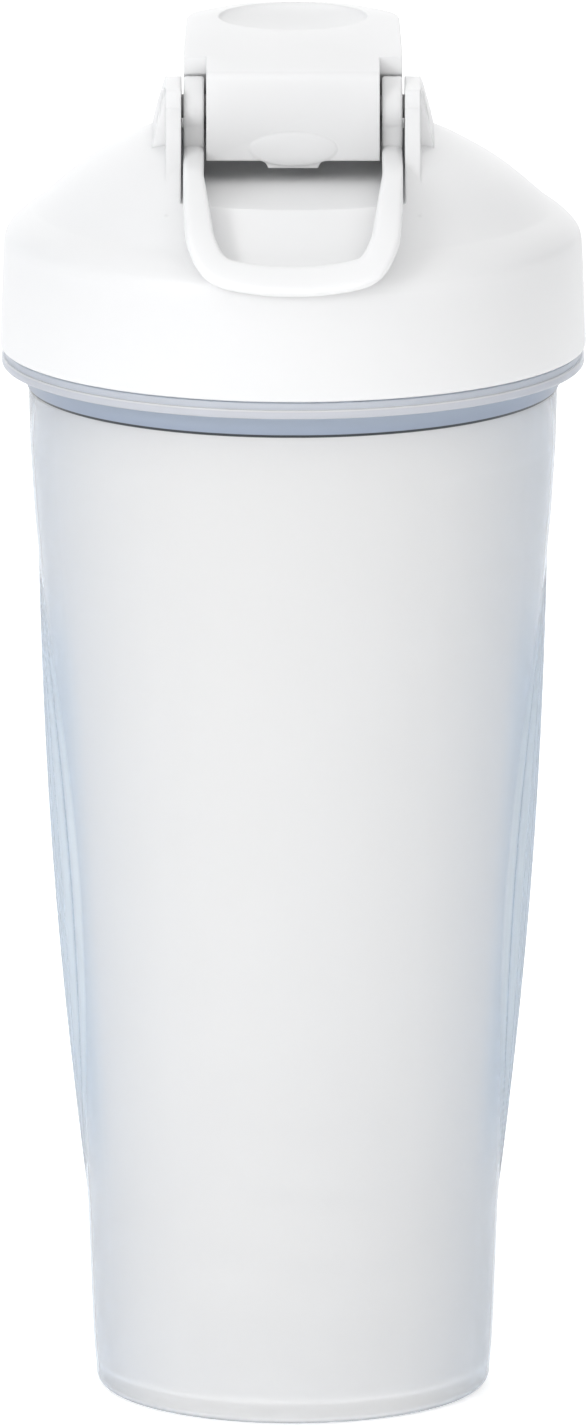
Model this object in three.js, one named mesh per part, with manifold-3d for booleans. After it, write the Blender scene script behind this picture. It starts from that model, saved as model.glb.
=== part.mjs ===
// Protein shaker bottle: a see-through cup with a threaded neck, a screw lid with a drinking spout,
// a flip cap with a soft stopper, a carry loop on the same hinge, and a wire whisk ball.
// Millimetres, +Z up. The origin is the middle of the bottom. The spout is on the +Y side and the
// carry loop lies on the -Y side.
import * as THREE from "three";
import { mergeVertices } from "three/addons/utils/BufferGeometryUtils.js";
import Module from "manifold-3d";

// ---- Driving dimensions ----------------------------------------------------------------------

const SLIDE_GAP = 0.4; // between pieces that move on each other
const SEAT_GAP = 0.25; // between pieces that rest on each other

const BODY_RADIUS = 44.4; // the cup's wall under the flange, which the flange and the lid follow

const CUP = {
  footRadius: 33.2,
  footCorner: 1.8,
  footRing: 2.4, // width of the ring that the cup stands on
  recess: 0.9, // how far the middle of the base is raised
  floor: 2,
  wall: 1.5,
  taperStart: 30.7, // height where the straight taper starts
  taperStartRadius: 34.6,
  taperEnd: 145,
  taperEndRadius: BODY_RADIUS - 1.5,
  shoulderHeight: 163, // height where the wall stands nearly upright
  shoulderRadius: BODY_RADIUS - 0.2,
  bodyHeight: 176, // underside of the flange
  bandHeight: 3.7, // thicker band right under the flange
  bandStep: 0.3,
  flangeRadius: BODY_RADIUS + 4.5,
  flangeHeight: 2.7,
  flangeStep: 0.4,
  neckHeight: 14.3, // above the flange
  neckWall: 2,
};

const GRIP = { low: 34, high: 143, proud: 1.58, halfAngle: 23, edgeAngle: 6 };

const THREAD = {
  lead: 8,
  depth: 1.5,
  root: 3.4, // width where the ridge meets its wall
  crest: 1.8,
  topRoom: 2.9, // from the upper end of the cup's thread to the rim
  lidShift: 0.4, // share of a turn that the lid's thread starts ahead of the cup's
  fade: 0.08, // share of a turn over which each end runs out
  play: 0.35, // radial clearance between the two threads
  start: 3, // height of the cup's lower thread end above the flange
};

const LID = {
  skirtRadius: BODY_RADIUS + 4.8,
  skirtTopRadius: BODY_RADIUS + 4.1,
  skirtHeight: 17.9,
  creaseRadius: BODY_RADIUS - 0.9,
  creaseHeight: 23.6, // all lid heights are above the lid's lower edge
  domeRadius: 36.1,
  domeHeight: 29.9,
  deckRadius: 28.7,
  deckEdgeHeight: 34.4,
  deckHeight: 36,
  wall: 2,
  platformHeight: 30, // floor of the channel between the hinge walls
  sealLip: 3.6, // how far the seal seat reaches in over the rim
};

const HINGE = {
  y: -5.7,
  height: 41.7, // above the lid's lower edge
  barrel: 6.3,
  sweep: 11.7, // radius that the turning pieces need free
  wallInner: 18.7,
  wallThick: 2.6,
  wallTop: 45.6,
  wallBack: 5,
  wallFoot: -32, // where the fin meets the dome
  wallSunk: 6, // how far the walls reach down into the dome
  flareFoot: 6.2,
  flareInset: 1.2, // from the fin's front edge back to the flare
  pinRadius: 2,
  pinReach: 8, // how far a pin goes into the cap
  headRadius: 2.8,
  headDepth: 1.3,
  headInset: 0.7,
};

const SPOUT = { y: 15, radius: 8.8, wall: 1.6, height: 43.5 };

const CAP = {
  tip: SPOUT.y + SPOUT.radius + 3.2,
  slope: 7.2, // degrees that the top rises towards the tip
  frontTop: 48.5,
  panelHalf: 14.5,
  underside: 38,
  panelLow: 33.6,
  tongueLow: 32.3,
  tongueHalf: 4.2,
  wall: 2.1,
  ceiling: 47.8,
  tipArc: 25,
  overEye: 2.5, // how far behind the hinge line the head starts to reach over the eyes
  eyeRoom: 6.8, // behind the hinge line, under the head
  dimpleHalfWidth: 12.5,
  dimpleHalfLength: 7.4,
  dimpleDepth: 2,
};

const LOOP = {
  eyeRadius: 5,
  armWidth: 3.4,
  armThick: 4,
  armTop: 35.7,
  webFront: 4.2, // how far the web under an eye reaches in front of the hinge line
  bendStart: -(BODY_RADIUS - 16.4),
  bendRadius: 23.6,
  barY: -(BODY_RADIUS + 4.9), // middle of the bar
  barWidth: 4.8,
  barThick: 3,
  barSlope: 58, // degrees that the bar is tipped forward
  chamfer: 0.6,
};

const SEAL = { thick: 1.5, overlap: 0.4 };
const BALL = {
  radius: 25,
  wire: 2.2,
  turns: 5,
  steps: 22,
  pole: 0.16 * Math.PI, // angle between the axis and each end of the wire
};

const ROUND = 60; // facets round the cup and the lid
const SMALL_ROUND = 28;
const TAPER_STEPS = 10; // rings along the grips

// ---- Values worked out from them -------------------------------------------------------------

const flangeTop = CUP.bodyHeight + CUP.flangeHeight;
const neckRadius = BODY_RADIUS + 0.2;
const neckInner = neckRadius - CUP.neckWall;
const rimHeight = flangeTop + CUP.neckHeight;
const threadCrest = neckRadius + THREAD.depth;
const threadTurns = (CUP.neckHeight - THREAD.start - THREAD.topRoom) / THREAD.lead;
const lidLow = flangeTop + SEAT_GAP;
const lidBore = threadCrest + THREAD.play;
const sealLow = rimHeight + SEAT_GAP;
const seatHeight = sealLow + SEAL.thick + SEAT_GAP;
const hingeHeight = lidLow + HINGE.height;
const slopeRise = Math.tan(THREE.MathUtils.degToRad(CAP.slope));
const capFront = HINGE.y - HINGE.barrel;
const capHalf = HINGE.wallInner - SLIDE_GAP;
const pinHole = HINGE.pinRadius + SEAT_GAP;
const floorTop = CUP.recess + CUP.floor;

// ---- Solids ----------------------------------------------------------------------------------

const wasm = await Module();
wasm.setup();

/** Turns a closed three.js geometry into a solid with its faces pointing out. */
function solid(geometry) {
  const bare = new THREE.BufferGeometry();
  bare.setAttribute("position", geometry.getAttribute("position"));
  if (geometry.index) bare.setIndex(geometry.index);
  const merged = mergeVertices(bare, 1e-4);
  const make = (triVerts) =>
    new wasm.Manifold(
      new wasm.Mesh({
        numProp: 3,
        vertProperties: new Float32Array(merged.attributes.position.array),
        triVerts,
      }),
    );
  const triangles = new Uint32Array(merged.index.array);
  const made = make(triangles);
  return made.volume() > 0 ? made : make(triangles.reverse());
}

/** Turns a solid into a named mesh. */
function meshOf(name, body, material) {
  const data = body.getMesh();
  const geometry = new THREE.BufferGeometry();
  geometry.setAttribute("position", new THREE.BufferAttribute(data.vertProperties, 3));
  geometry.setIndex(new THREE.BufferAttribute(data.triVerts, 1));
  geometry.computeVertexNormals();
  const mesh = new THREE.Mesh(geometry, material);
  mesh.name = name;
  return mesh;
}

/** Revolves a closed [radius, height] outline about the Z axis. */
function turned(outline, facets = ROUND) {
  const points = outline.map(([r, z]) => new THREE.Vector2(r, z));
  const geometry = new THREE.LatheGeometry([...points, points[0]], facets);
  return geometry.rotateX(Math.PI / 2);
}

/** Extrudes a shape drawn in Y and Z from x = from to x = to. */
function alongX(shape, from, to, curveSegments = 12) {
  const depth = to - from;
  const geometry = new THREE.ExtrudeGeometry(shape, { depth, bevelEnabled: false, curveSegments });
  const y = new THREE.Vector3(0, 1, 0);
  const z = new THREE.Vector3(0, 0, 1);
  const x = new THREE.Vector3(1, 0, 0);
  geometry.applyMatrix4(new THREE.Matrix4().makeBasis(y, z, x));
  return solid(geometry.translate(from, 0, 0));
}

/** Extrudes a shape drawn in X and Y from z = low to z = high. */
function upright(shape, low, high, curveSegments = 12) {
  const depth = high - low;
  const geometry = new THREE.ExtrudeGeometry(shape, { depth, bevelEnabled: false, curveSegments });
  return solid(geometry.translate(0, 0, low));
}

/** A box between two corners. */
function block([x0, y0, z0], [x1, y1, z1]) {
  const geometry = new THREE.BoxGeometry(x1 - x0, y1 - y0, z1 - z0);
  return solid(geometry.translate((x0 + x1) / 2, (y0 + y1) / 2, (z0 + z1) / 2));
}

/** A cylinder along X about the hinge axis. */
function hingeRound(radius, from, to, facets = SMALL_ROUND) {
  const geometry = new THREE.CylinderGeometry(radius, radius, to - from, facets);
  return solid(geometry.rotateZ(Math.PI / 2).translate((from + to) / 2, HINGE.y, hingeHeight));
}

/** The same solid on the other side of the YZ plane. */
function mirrored(body) {
  return body.mirror([1, 0, 0]);
}

/** Points along a circular arc in a [radius, height] outline, from one angle to another. */
function arc(centreR, centreZ, radius, fromDegrees, toDegrees, steps) {
  return Array.from({ length: steps + 1 }, (_, i) => {
    const angle = THREE.MathUtils.degToRad(fromDegrees + ((toDegrees - fromDegrees) * i) / steps);
    return [centreR + radius * Math.cos(angle), centreZ + radius * Math.sin(angle)];
  });
}

/** Points on a smooth curve through a few [radius, height] points. */
function smooth(points, steps) {
  const curve = new THREE.SplineCurve(points.map(([r, z]) => new THREE.Vector2(r, z)));
  return curve.getPoints(steps).map((p) => [p.x, p.y]);
}

/** A helical ridge on a wall, which stands out by depth, or in if depth is negative. */
function threadRidge(wallRadius, depth, startHeight, startTurn) {
  const stepsPerTurn = ROUND / 2;
  const steps = Math.round(threadTurns * stepsPerTurn);
  const sunk = -Math.sign(depth) * 0.5;
  const positions = [];
  const index = [];
  for (let i = 0; i <= steps; i += 1) {
    const turn = i / stepsPerTurn;
    const end = Math.min(turn, threadTurns - turn) / THREAD.fade;
    const height = depth * Math.min(1, 0.1 + 0.9 * Math.max(0, end));
    const angle = 2 * Math.PI * (startTurn + turn);
    const middle = startHeight + THREAD.lead * turn;
    const section = [
      [wallRadius + sunk, middle - THREAD.root / 2],
      [wallRadius, middle - THREAD.root / 2],
      [wallRadius + height, middle - THREAD.crest / 2],
      [wallRadius + height, middle + THREAD.crest / 2],
      [wallRadius, middle + THREAD.root / 2],
      [wallRadius + sunk, middle + THREAD.root / 2],
    ];
    section.forEach(([r, z]) => positions.push(r * Math.cos(angle), r * Math.sin(angle), z));
  }
  const sides = 6;
  for (let i = 0; i < steps; i += 1) {
    for (let k = 0; k < sides; k += 1) {
      const a = i * sides + k;
      const b = i * sides + ((k + 1) % sides);
      index.push(a, b, a + sides, b, b + sides, a + sides);
    }
  }
  const last = steps * sides;
  for (let k = 1; k < sides - 1; k += 1) {
    index.push(0, k + 1, k);
    index.push(last, last + k, last + k + 1);
  }
  const geometry = new THREE.BufferGeometry();
  geometry.setAttribute("position", new THREE.Float32BufferAttribute(positions, 3));
  geometry.setIndex(index);
  return solid(geometry);
}

// ---- Cup -------------------------------------------------------------------------------------

/** How far the side grips stand out of the cup's wall, at an angle from the X axis and a height. */
function gripHeight(angle, height) {
  const along = (height - GRIP.low) / (GRIP.high - GRIP.low);
  if (along <= 0 || along >= 1) return 0;
  const swell = Math.sin(Math.PI * along);
  const half = GRIP.halfAngle * swell ** 0.6;
  const away = Math.abs(THREE.MathUtils.radToDeg(angle));
  const edge = THREE.MathUtils.smoothstep(half - away, 0, GRIP.edgeAngle);
  return GRIP.proud * swell ** 0.92 * edge;
}

/** The cup's outer wall from the foot to the underside of the flange. */
function cupWall() {
  const corner = arc(CUP.footRadius - CUP.footCorner, CUP.footCorner, CUP.footCorner, -90, 0, 4);
  const taper = Array.from({ length: TAPER_STEPS + 1 }, (_, i) => [
    THREE.MathUtils.lerp(CUP.taperStartRadius, CUP.taperEndRadius, i / TAPER_STEPS),
    THREE.MathUtils.lerp(CUP.taperStart, CUP.taperEnd, i / TAPER_STEPS),
  ]);
  const flare = smooth(
    [
      [CUP.taperEndRadius, CUP.taperEnd],
      [CUP.taperEndRadius + 0.62, CUP.taperEnd + 7],
      [CUP.shoulderRadius, CUP.shoulderHeight],
    ],
    4,
  ).slice(1);
  const bandLow = CUP.bodyHeight - CUP.bandHeight;
  return [
    ...corner,
    ...taper,
    ...flare,
    [BODY_RADIUS, bandLow],
    [BODY_RADIUS + CUP.bandStep, bandLow + CUP.bandStep],
    [BODY_RADIUS + CUP.bandStep, CUP.bodyHeight],
  ];
}

function makeCup() {
  const step = CUP.flangeRadius - CUP.flangeStep;
  const flange = [
    [CUP.flangeRadius - 0.3, CUP.bodyHeight],
    [CUP.flangeRadius, CUP.bodyHeight + 0.3],
    [CUP.flangeRadius, CUP.bodyHeight + CUP.flangeHeight / 2],
    [step, CUP.bodyHeight + CUP.flangeHeight / 2 + 0.2],
    [step, flangeTop],
  ];
  const neck = [
    [neckRadius, flangeTop],
    [neckRadius, rimHeight - 0.5],
    [neckRadius - 0.5, rimHeight],
    [neckInner + 0.5, rimHeight],
    [neckInner, rimHeight - 0.5],
  ];
  const innerCorner = CUP.footRadius - CUP.wall - 3;
  const inside = [
    [BODY_RADIUS - CUP.wall, CUP.bodyHeight - CUP.bandHeight],
    [CUP.shoulderRadius - CUP.wall, CUP.shoulderHeight],
    [CUP.taperEndRadius - CUP.wall, CUP.taperEnd],
    [CUP.taperStartRadius - CUP.wall, CUP.taperStart],
    ...arc(innerCorner, floorTop + 3, 3, 0, -90, 4),
    [0, floorTop],
  ];
  const base = [
    [0, CUP.recess],
    [CUP.footRadius - CUP.footCorner - CUP.footRing - CUP.recess, CUP.recess],
    [CUP.footRadius - CUP.footCorner - CUP.footRing, 0],
  ];
  const geometry = turned([...base, ...cupWall(), ...flange, ...neck, ...inside]);
  const position = geometry.getAttribute("position");
  for (let i = 0; i < position.count; i += 1) {
    const [x, y, z] = [position.getX(i), position.getY(i), position.getZ(i)];
    const radius = Math.hypot(x, y);
    const along = (z - CUP.taperStart) / (CUP.taperEnd - CUP.taperStart);
    const wall = THREE.MathUtils.lerp(CUP.taperStartRadius, CUP.taperEndRadius, along);
    if (radius < wall - CUP.wall / 2 || z >= CUP.taperEnd) continue;
    const scale = 1 + gripHeight(Math.asin(Math.min(1, Math.abs(y) / radius)), z) / radius;
    position.setXYZ(i, x * scale, y * scale, z);
  }
  const start = flangeTop + THREAD.start;
  return solid(geometry).add(threadRidge(neckRadius, THREAD.depth, start, 0));
}

// ---- Lid -------------------------------------------------------------------------------------

/** The lid's outer outline, from the lower edge to the middle of the deck. */
function lidOutline(inset) {
  const at = (r, h) => [r - inset, lidLow + h - inset];
  const shoulder = smooth(
    [
      [LID.skirtTopRadius, LID.skirtHeight],
      [LID.skirtTopRadius - 0.6, LID.skirtHeight + 1.9],
      [LID.skirtTopRadius - 2.6, LID.skirtHeight + 4],
      [LID.creaseRadius, LID.creaseHeight],
    ],
    5,
  );
  const dome = smooth(
    [
      [LID.creaseRadius, LID.creaseHeight],
      [LID.domeRadius, LID.domeHeight],
      [LID.deckRadius, LID.deckEdgeHeight],
      [LID.deckRadius - 3.6, LID.deckHeight - 0.2],
      [LID.deckRadius - 6, LID.deckHeight],
    ],
    8,
  ).slice(1);
  return [...shoulder, ...dome].map(([r, h]) => at(r, h));
}

/** The channel that the cap, the loop and the hinge turn in, grown by a margin. */
function channel(margin) {
  const half = HINGE.wallInner + margin;
  const low = lidLow + LID.platformHeight - margin;
  const front = block([-half, -70, low], [half, HINGE.y, low + 60]);
  const back = hingeRound(HINGE.sweep + margin, -half, half, 48);
  return front.add(back);
}

/** The side of a hinge wall, which runs down the dome as a thin fin. */
function hingeFin() {
  const top = lidLow + HINGE.wallTop;
  const low = lidLow + LID.creaseHeight - HINGE.wallSunk;
  const deck = lidLow + LID.deckHeight;
  const back = HINGE.wallBack;
  const fin = new THREE.Shape();
  fin.moveTo(HINGE.wallFoot, low);
  fin.lineTo(HINGE.wallFoot, lidLow + LID.domeHeight - 1.6);
  fin.quadraticCurveTo(HINGE.wallFoot + 15, deck - 0.5, capFront, top - 3);
  fin.lineTo(capFront, top - 1.2);
  fin.quadraticCurveTo(capFront, top, capFront + 1.2, top);
  fin.lineTo(back - 5.5, top);
  fin.quadraticCurveTo(back - 0.5, top, back + 2.5, top - 4);
  fin.lineTo(back + 9, deck - 1);
  fin.lineTo(back + 9, low);
  fin.closePath();
  return fin;
}

/** One hinge wall: the fin, and a buttress that flares out beside it. */
function hingeWall() {
  const top = lidLow + HINGE.wallTop;
  const low = lidLow + LID.creaseHeight - HINGE.wallSunk;
  const outer = HINGE.wallInner + HINGE.wallThick;
  const section = new THREE.Shape();
  section.moveTo(HINGE.wallInner, low);
  section.lineTo(outer + HINGE.flareFoot, low);
  section.quadraticCurveTo(outer + 2.4, lidLow + LID.deckHeight, outer, top);
  section.lineTo(HINGE.wallInner, top);
  section.closePath();
  const back = HINGE.wallBack + 6;
  const depth = back - (capFront + HINGE.flareInset);
  const flare = new THREE.ExtrudeGeometry(section, { depth, bevelEnabled: false, curveSegments: 6 });
  flare.rotateX(Math.PI / 2).translate(0, back, 0);
  const plate = alongX(hingeFin(), HINGE.wallInner, outer, 8);
  const behind = alongX(hingeFin(), HINGE.wallInner, outer + 8, 8).intersect(solid(flare));
  return plate.add(behind);
}

function makeLid() {
  const outline = lidOutline(0);
  const top = lidLow + LID.deckHeight;
  const shell = solid(
    turned([
      [0, lidLow],
      [LID.skirtRadius - 0.4, lidLow],
      [LID.skirtRadius, lidLow + 0.4],
      ...outline,
      [0, top],
    ]),
  );
  const inner = lidOutline(LID.wall);
  const lipRadius = neckRadius - LID.sealLip;
  const hollowTop = inner.filter(([r]) => r < lipRadius);
  const hollow = solid(
    turned([
      [0, lidLow - 1],
      [lidBore, lidLow - 1],
      [lidBore, seatHeight],
      [lipRadius, seatHeight],
      [lipRadius, hollowTop[0][1] - 1],
      ...hollowTop,
      [0, top - LID.wall],
    ]),
  ).subtract(channel(LID.wall));
  const wall = hingeWall();
  const spoutTop = lidLow + SPOUT.height;
  const spout = new THREE.CylinderGeometry(SPOUT.radius, SPOUT.radius + 0.3, spoutTop - top + 2, 40);
  spout.rotateX(Math.PI / 2).translate(0, SPOUT.y, (spoutTop + top) / 2 - 1);
  const bore = SPOUT.radius - SPOUT.wall;
  const through = new THREE.CylinderGeometry(bore, bore, spoutTop - top + 12, 40);
  through.rotateX(Math.PI / 2).translate(0, SPOUT.y, (spoutTop + top) / 2);
  const outside = HINGE.wallInner + HINGE.wallThick + 10;
  const seat = HINGE.wallInner + HINGE.wallThick - HINGE.headInset;
  const start = flangeTop + THREAD.start + THREAD.lead * (0.5 - THREAD.lidShift);
  return shell
    .subtract(channel(0))
    .add(wall)
    .add(mirrored(wall))
    .add(solid(spout))
    .subtract(solid(through))
    .subtract(hollow)
    .subtract(hingeRound(pinHole, -outside, outside))
    .subtract(hingeRound(HINGE.headRadius + SEAT_GAP, seat, outside))
    .subtract(hingeRound(HINGE.headRadius + SEAT_GAP, -outside, -seat))
    .add(threadRidge(lidBore, -THREAD.depth, start, -THREAD.lidShift));
}

function makeSeal() {
  const outer = neckRadius + SEAL.overlap;
  const inner = neckInner - SEAL.overlap;
  const top = sealLow + SEAL.thick;
  const outline = [
    [inner, sealLow],
    [outer, sealLow],
    [outer, top],
    [inner, top],
  ];
  return solid(turned(outline));
}

function makePin() {
  const inside = CAP.panelHalf - HINGE.pinReach;
  const seat = HINGE.wallInner + HINGE.wallThick - HINGE.headInset;
  const shank = hingeRound(HINGE.pinRadius, inside, seat + SEAT_GAP + 0.2);
  const head = hingeRound(HINGE.headRadius, seat + SEAT_GAP, seat + SEAT_GAP + HINGE.headDepth);
  return shank.add(head);
}

// ---- Flip cap --------------------------------------------------------------------------------

/** The cap from the side, with its hinge block at the front and its head over the spout. */
function capProfile() {
  const front = lidLow + CAP.frontTop;
  const under = lidLow + CAP.underside;
  const profile = new THREE.Shape();
  profile.moveTo(capFront, lidLow + CAP.panelLow);
  profile.lineTo(capFront, front - 1.4);
  profile.quadraticCurveTo(capFront, front, capFront + 1.4, front + 1.4 * slopeRise);
  profile.lineTo(CAP.tip - 0.8, front + (CAP.tip - 0.8 - capFront) * slopeRise);
  profile.quadraticCurveTo(CAP.tip, front + (CAP.tip - capFront) * slopeRise, CAP.tip, front + 3.6);
  profile.lineTo(CAP.tip - 0.5, under);
  profile.lineTo(HINGE.y + 9, under);
  profile.lineTo(HINGE.y + 2.8, lidLow + CAP.panelLow);
  profile.closePath();
  return profile;
}

/** The cap from above: straight sides and a rounded tip, drawn in by an inset. */
function capPlan(inset) {
  const half = capHalf - inset;
  const tip = CAP.tip - inset;
  const arcHalf = half - 3;
  const arcY = tip - CAP.tipArc + Math.sqrt(CAP.tipArc ** 2 - arcHalf ** 2);
  const start = Math.atan2(arcY - (tip - CAP.tipArc), arcHalf);
  const plan = new THREE.Shape();
  plan.moveTo(-half, capFront - 2);
  plan.lineTo(half, capFront - 2);
  plan.lineTo(half, 0);
  plan.lineTo(half - 0.4, arcY - 5);
  plan.quadraticCurveTo(half - 0.5, arcY - 1.4, arcHalf, arcY);
  plan.absarc(0, tip - CAP.tipArc, CAP.tipArc, start, Math.PI - start, false);
  plan.quadraticCurveTo(-half + 0.5, arcY - 1.4, -half + 0.4, arcY - 5);
  plan.lineTo(-half, 0);
  plan.closePath();
  return plan;
}

function makeCap() {
  const low = lidLow + CAP.tongueLow;
  const high = lidLow + CAP.frontTop + 8;
  const outside = alongX(capProfile(), -capHalf, capHalf).intersect(upright(capPlan(0), low, high));
  const outer = capHalf + 2;
  const side = block([CAP.panelHalf, capFront - 3, low - 1], [outer, HINGE.y + CAP.overEye, high])
    .add(block([CAP.panelHalf, capFront - 3, low - 1], [outer, HINGE.y + CAP.eyeRoom, hingeHeight]))
    .add(hingeRound(LOOP.eyeRadius + SLIDE_GAP + 0.2, CAP.panelHalf, outer));
  const cavity = block(
    [-(capHalf - CAP.wall), HINGE.y + 9.2, lidLow + CAP.underside - 1],
    [capHalf - CAP.wall, CAP.tip, lidLow + CAP.ceiling],
  ).intersect(upright(capPlan(CAP.wall), low, high));
  const dimpleY = CAP.tip - CAP.dimpleHalfLength - 1;
  const dimpleTop = lidLow + CAP.frontTop + (dimpleY - capFront) * slopeRise;
  const dimple = new THREE.SphereGeometry(1, 36, 18);
  dimple.scale(CAP.dimpleHalfWidth, CAP.dimpleHalfLength, CAP.dimpleDepth);
  dimple.rotateX(THREE.MathUtils.degToRad(CAP.slope)).translate(0, dimpleY, dimpleTop);
  const tongue = new THREE.Shape();
  tongue.moveTo(-CAP.tongueHalf - 3, lidLow + CAP.panelLow + 1.5);
  tongue.quadraticCurveTo(-CAP.tongueHalf, low + 1, -CAP.tongueHalf, low);
  tongue.lineTo(CAP.tongueHalf, low);
  tongue.quadraticCurveTo(CAP.tongueHalf, low + 1, CAP.tongueHalf + 3, lidLow + CAP.panelLow + 1.5);
  tongue.closePath();
  const flat = new THREE.ExtrudeGeometry(tongue, { depth: 3, bevelEnabled: false, curveSegments: 5 });
  flat.rotateX(Math.PI / 2).translate(0, capFront + 3.4, 0);
  return outside
    .subtract(side)
    .subtract(mirrored(side))
    .add(solid(flat))
    .subtract(cavity)
    .subtract(solid(dimple))
    .subtract(hingeRound(pinHole, -CAP.panelHalf - 1, -CAP.panelHalf + HINGE.pinReach + 0.6))
    .subtract(hingeRound(pinHole, CAP.panelHalf - HINGE.pinReach - 0.6, CAP.panelHalf + 1));
}

function makePlug() {
  const ceiling = lidLow + CAP.ceiling - SEAT_GAP;
  const mouth = lidLow + SPOUT.height + SEAT_GAP;
  const bore = SPOUT.radius - SPOUT.wall;
  const outline = [
    [0, mouth - 3.6],
    [bore - 1.6, mouth - 3.6],
    [bore - 0.9, mouth - 2.8],
    [bore - SEAT_GAP, mouth - 0.4],
    [bore - SEAT_GAP, mouth],
    [SPOUT.radius + 0.4, mouth],
    [SPOUT.radius + 0.4, mouth + 1.2],
    [bore - 1, mouth + 1.6],
    [bore - 1, ceiling],
    [0, ceiling],
  ];
  return solid(turned(outline, 36).translate(0, SPOUT.y, 0));
}

// ---- Carry loop ------------------------------------------------------------------------------

/** How far the loop has bent down at a place along Y, in radians. */
function loopBend(y) {
  const most = THREE.MathUtils.degToRad(LOOP.barSlope);
  return Math.min(most, Math.asin(Math.min(1, Math.max(0, LOOP.bendStart - y) / LOOP.bendRadius)));
}

/** Height of the loop's middle line at a place along Y: flat, then round a bend, then straight. */
function loopHeight(y) {
  const bend = loopBend(y);
  const flat = lidLow + LOOP.armTop - LOOP.armThick / 2;
  const past = Math.max(0, LOOP.bendStart - y - LOOP.bendRadius * Math.sin(bend));
  return flat - LOOP.bendRadius * (1 - Math.cos(bend)) - past * Math.tan(bend);
}

/** The loop's middle line from one eye round to the other. */
function loopPath() {
  const arm = HINGE.wallInner - SLIDE_GAP - LOOP.armWidth / 2;
  const half = [
    [arm, HINGE.y + 2],
    [arm, capFront],
    [arm, LOOP.bendStart],
    [arm - 0.3, LOOP.bendStart - 8],
    [arm - 0.8, LOOP.barY + 7.4],
    [arm - 1.5, LOOP.barY + 3.8],
    [arm - 4.1, LOOP.barY + 1.1],
    [arm * 0.37, LOOP.barY + 0.2],
  ];
  const other = half.map(([x, y]) => [-x, y]).reverse();
  const plan = [...half, [0, LOOP.barY], ...other];
  return new THREE.CatmullRomCurve3(plan.map(([x, y]) => new THREE.Vector3(x, y, loopHeight(y))));
}

/** A strap with chamfered edges swept along the loop's path, wider and thinner along the bar. */
function loopStrap(steps) {
  const path = loopPath();
  const positions = [];
  const index = [];
  const sides = 8;
  for (let i = 0; i <= steps; i += 1) {
    const point = path.getPointAt(i / steps);
    const along = path.getTangentAt(i / steps);
    const bend = loopBend(point.y);
    const share = THREE.MathUtils.smoothstep(-point.y, -LOOP.bendStart, -LOOP.barY - 2);
    const halfWidth = THREE.MathUtils.lerp(LOOP.armWidth, LOOP.barWidth, share) / 2;
    const halfThick = THREE.MathUtils.lerp(LOOP.armThick, LOOP.barThick, share) / 2;
    const up = new THREE.Vector3(0, -Math.sin(bend), Math.cos(bend));
    up.addScaledVector(along, -up.dot(along)).normalize();
    const across = new THREE.Vector3().crossVectors(along, up);
    for (let k = 0; k < sides; k += 1) {
      const [sx, sy] = [[1, 1], [-1, 1], [-1, -1], [1, -1]][Math.floor(k / 2)];
      const cutWidth = k % 4 === 0 || k % 4 === 3 ? 0 : LOOP.chamfer;
      const corner = point.clone();
      corner.addScaledVector(across, sx * (halfWidth - cutWidth));
      corner.addScaledVector(up, sy * (halfThick - (LOOP.chamfer - cutWidth)));
      positions.push(...corner.toArray());
    }
  }
  for (let i = 0; i < steps; i += 1) {
    for (let k = 0; k < sides; k += 1) {
      const a = i * sides + k;
      const b = i * sides + ((k + 1) % sides);
      index.push(a, b, a + sides, b, b + sides, a + sides);
    }
  }
  const last = steps * sides;
  for (let k = 1; k < sides - 1; k += 1) {
    index.push(0, k + 1, k);
    index.push(last, last + k, last + k + 1);
  }
  const geometry = new THREE.BufferGeometry();
  geometry.setAttribute("position", new THREE.Float32BufferAttribute(positions, 3));
  geometry.setIndex(index);
  return solid(geometry);
}

function makeLoop() {
  const outer = HINGE.wallInner - SLIDE_GAP;
  const inner = outer - LOOP.armWidth;
  const armLow = lidLow + LOOP.armTop - LOOP.armThick;
  const web = new THREE.Shape();
  web.moveTo(HINGE.y + 2, armLow);
  web.lineTo(HINGE.y + LOOP.eyeRadius, hingeHeight);
  web.lineTo(HINGE.y - LOOP.webFront, hingeHeight);
  web.lineTo(HINGE.y - LOOP.webFront, armLow);
  web.closePath();
  const eye = hingeRound(LOOP.eyeRadius, inner, outer).add(alongX(web, inner, outer));
  return loopStrap(56)
    .add(eye)
    .add(mirrored(eye))
    .subtract(hingeRound(pinHole, -outer - 1, outer + 1));
}

// ---- Whisk ball ------------------------------------------------------------------------------

function makeBall() {
  const radius = BALL.radius - BALL.wire / 2;
  const count = BALL.turns * BALL.steps;
  const centre = floorTop + SEAT_GAP + BALL.radius;
  const points = Array.from({ length: count + 1 }, (_, i) => {
    const share = i / count;
    const polar = BALL.pole + (Math.PI - 2 * BALL.pole) * share;
    const angle = 2 * Math.PI * BALL.turns * share;
    const spread = radius * Math.sin(polar);
    const height = (radius * Math.cos(polar)) / Math.cos(BALL.pole);
    return new THREE.Vector3(spread * Math.cos(angle), spread * Math.sin(angle), centre + height);
  });
  const wire = new THREE.Shape().absarc(0, 0, BALL.wire / 2, 0, 2 * Math.PI);
  const path = new THREE.CatmullRomCurve3(points);
  const settings = { steps: count, extrudePath: path, bevelEnabled: false, curveSegments: 3 };
  return solid(new THREE.ExtrudeGeometry(wire, settings));
}

// ---- Assembly --------------------------------------------------------------------------------

const finish = (color, roughness, metalness = 0) =>
  new THREE.MeshStandardMaterial({ color, roughness, metalness });
const frosted = finish(0xe6e9ee, 0.5);
frosted.transparent = true;
frosted.opacity = 0.7;
const white = finish(0xf2f2f1, 0.42);
const rubber = finish(0xe4e4e2, 0.75);
const steel = finish(0xb9bcc0, 0.28, 1);

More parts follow.
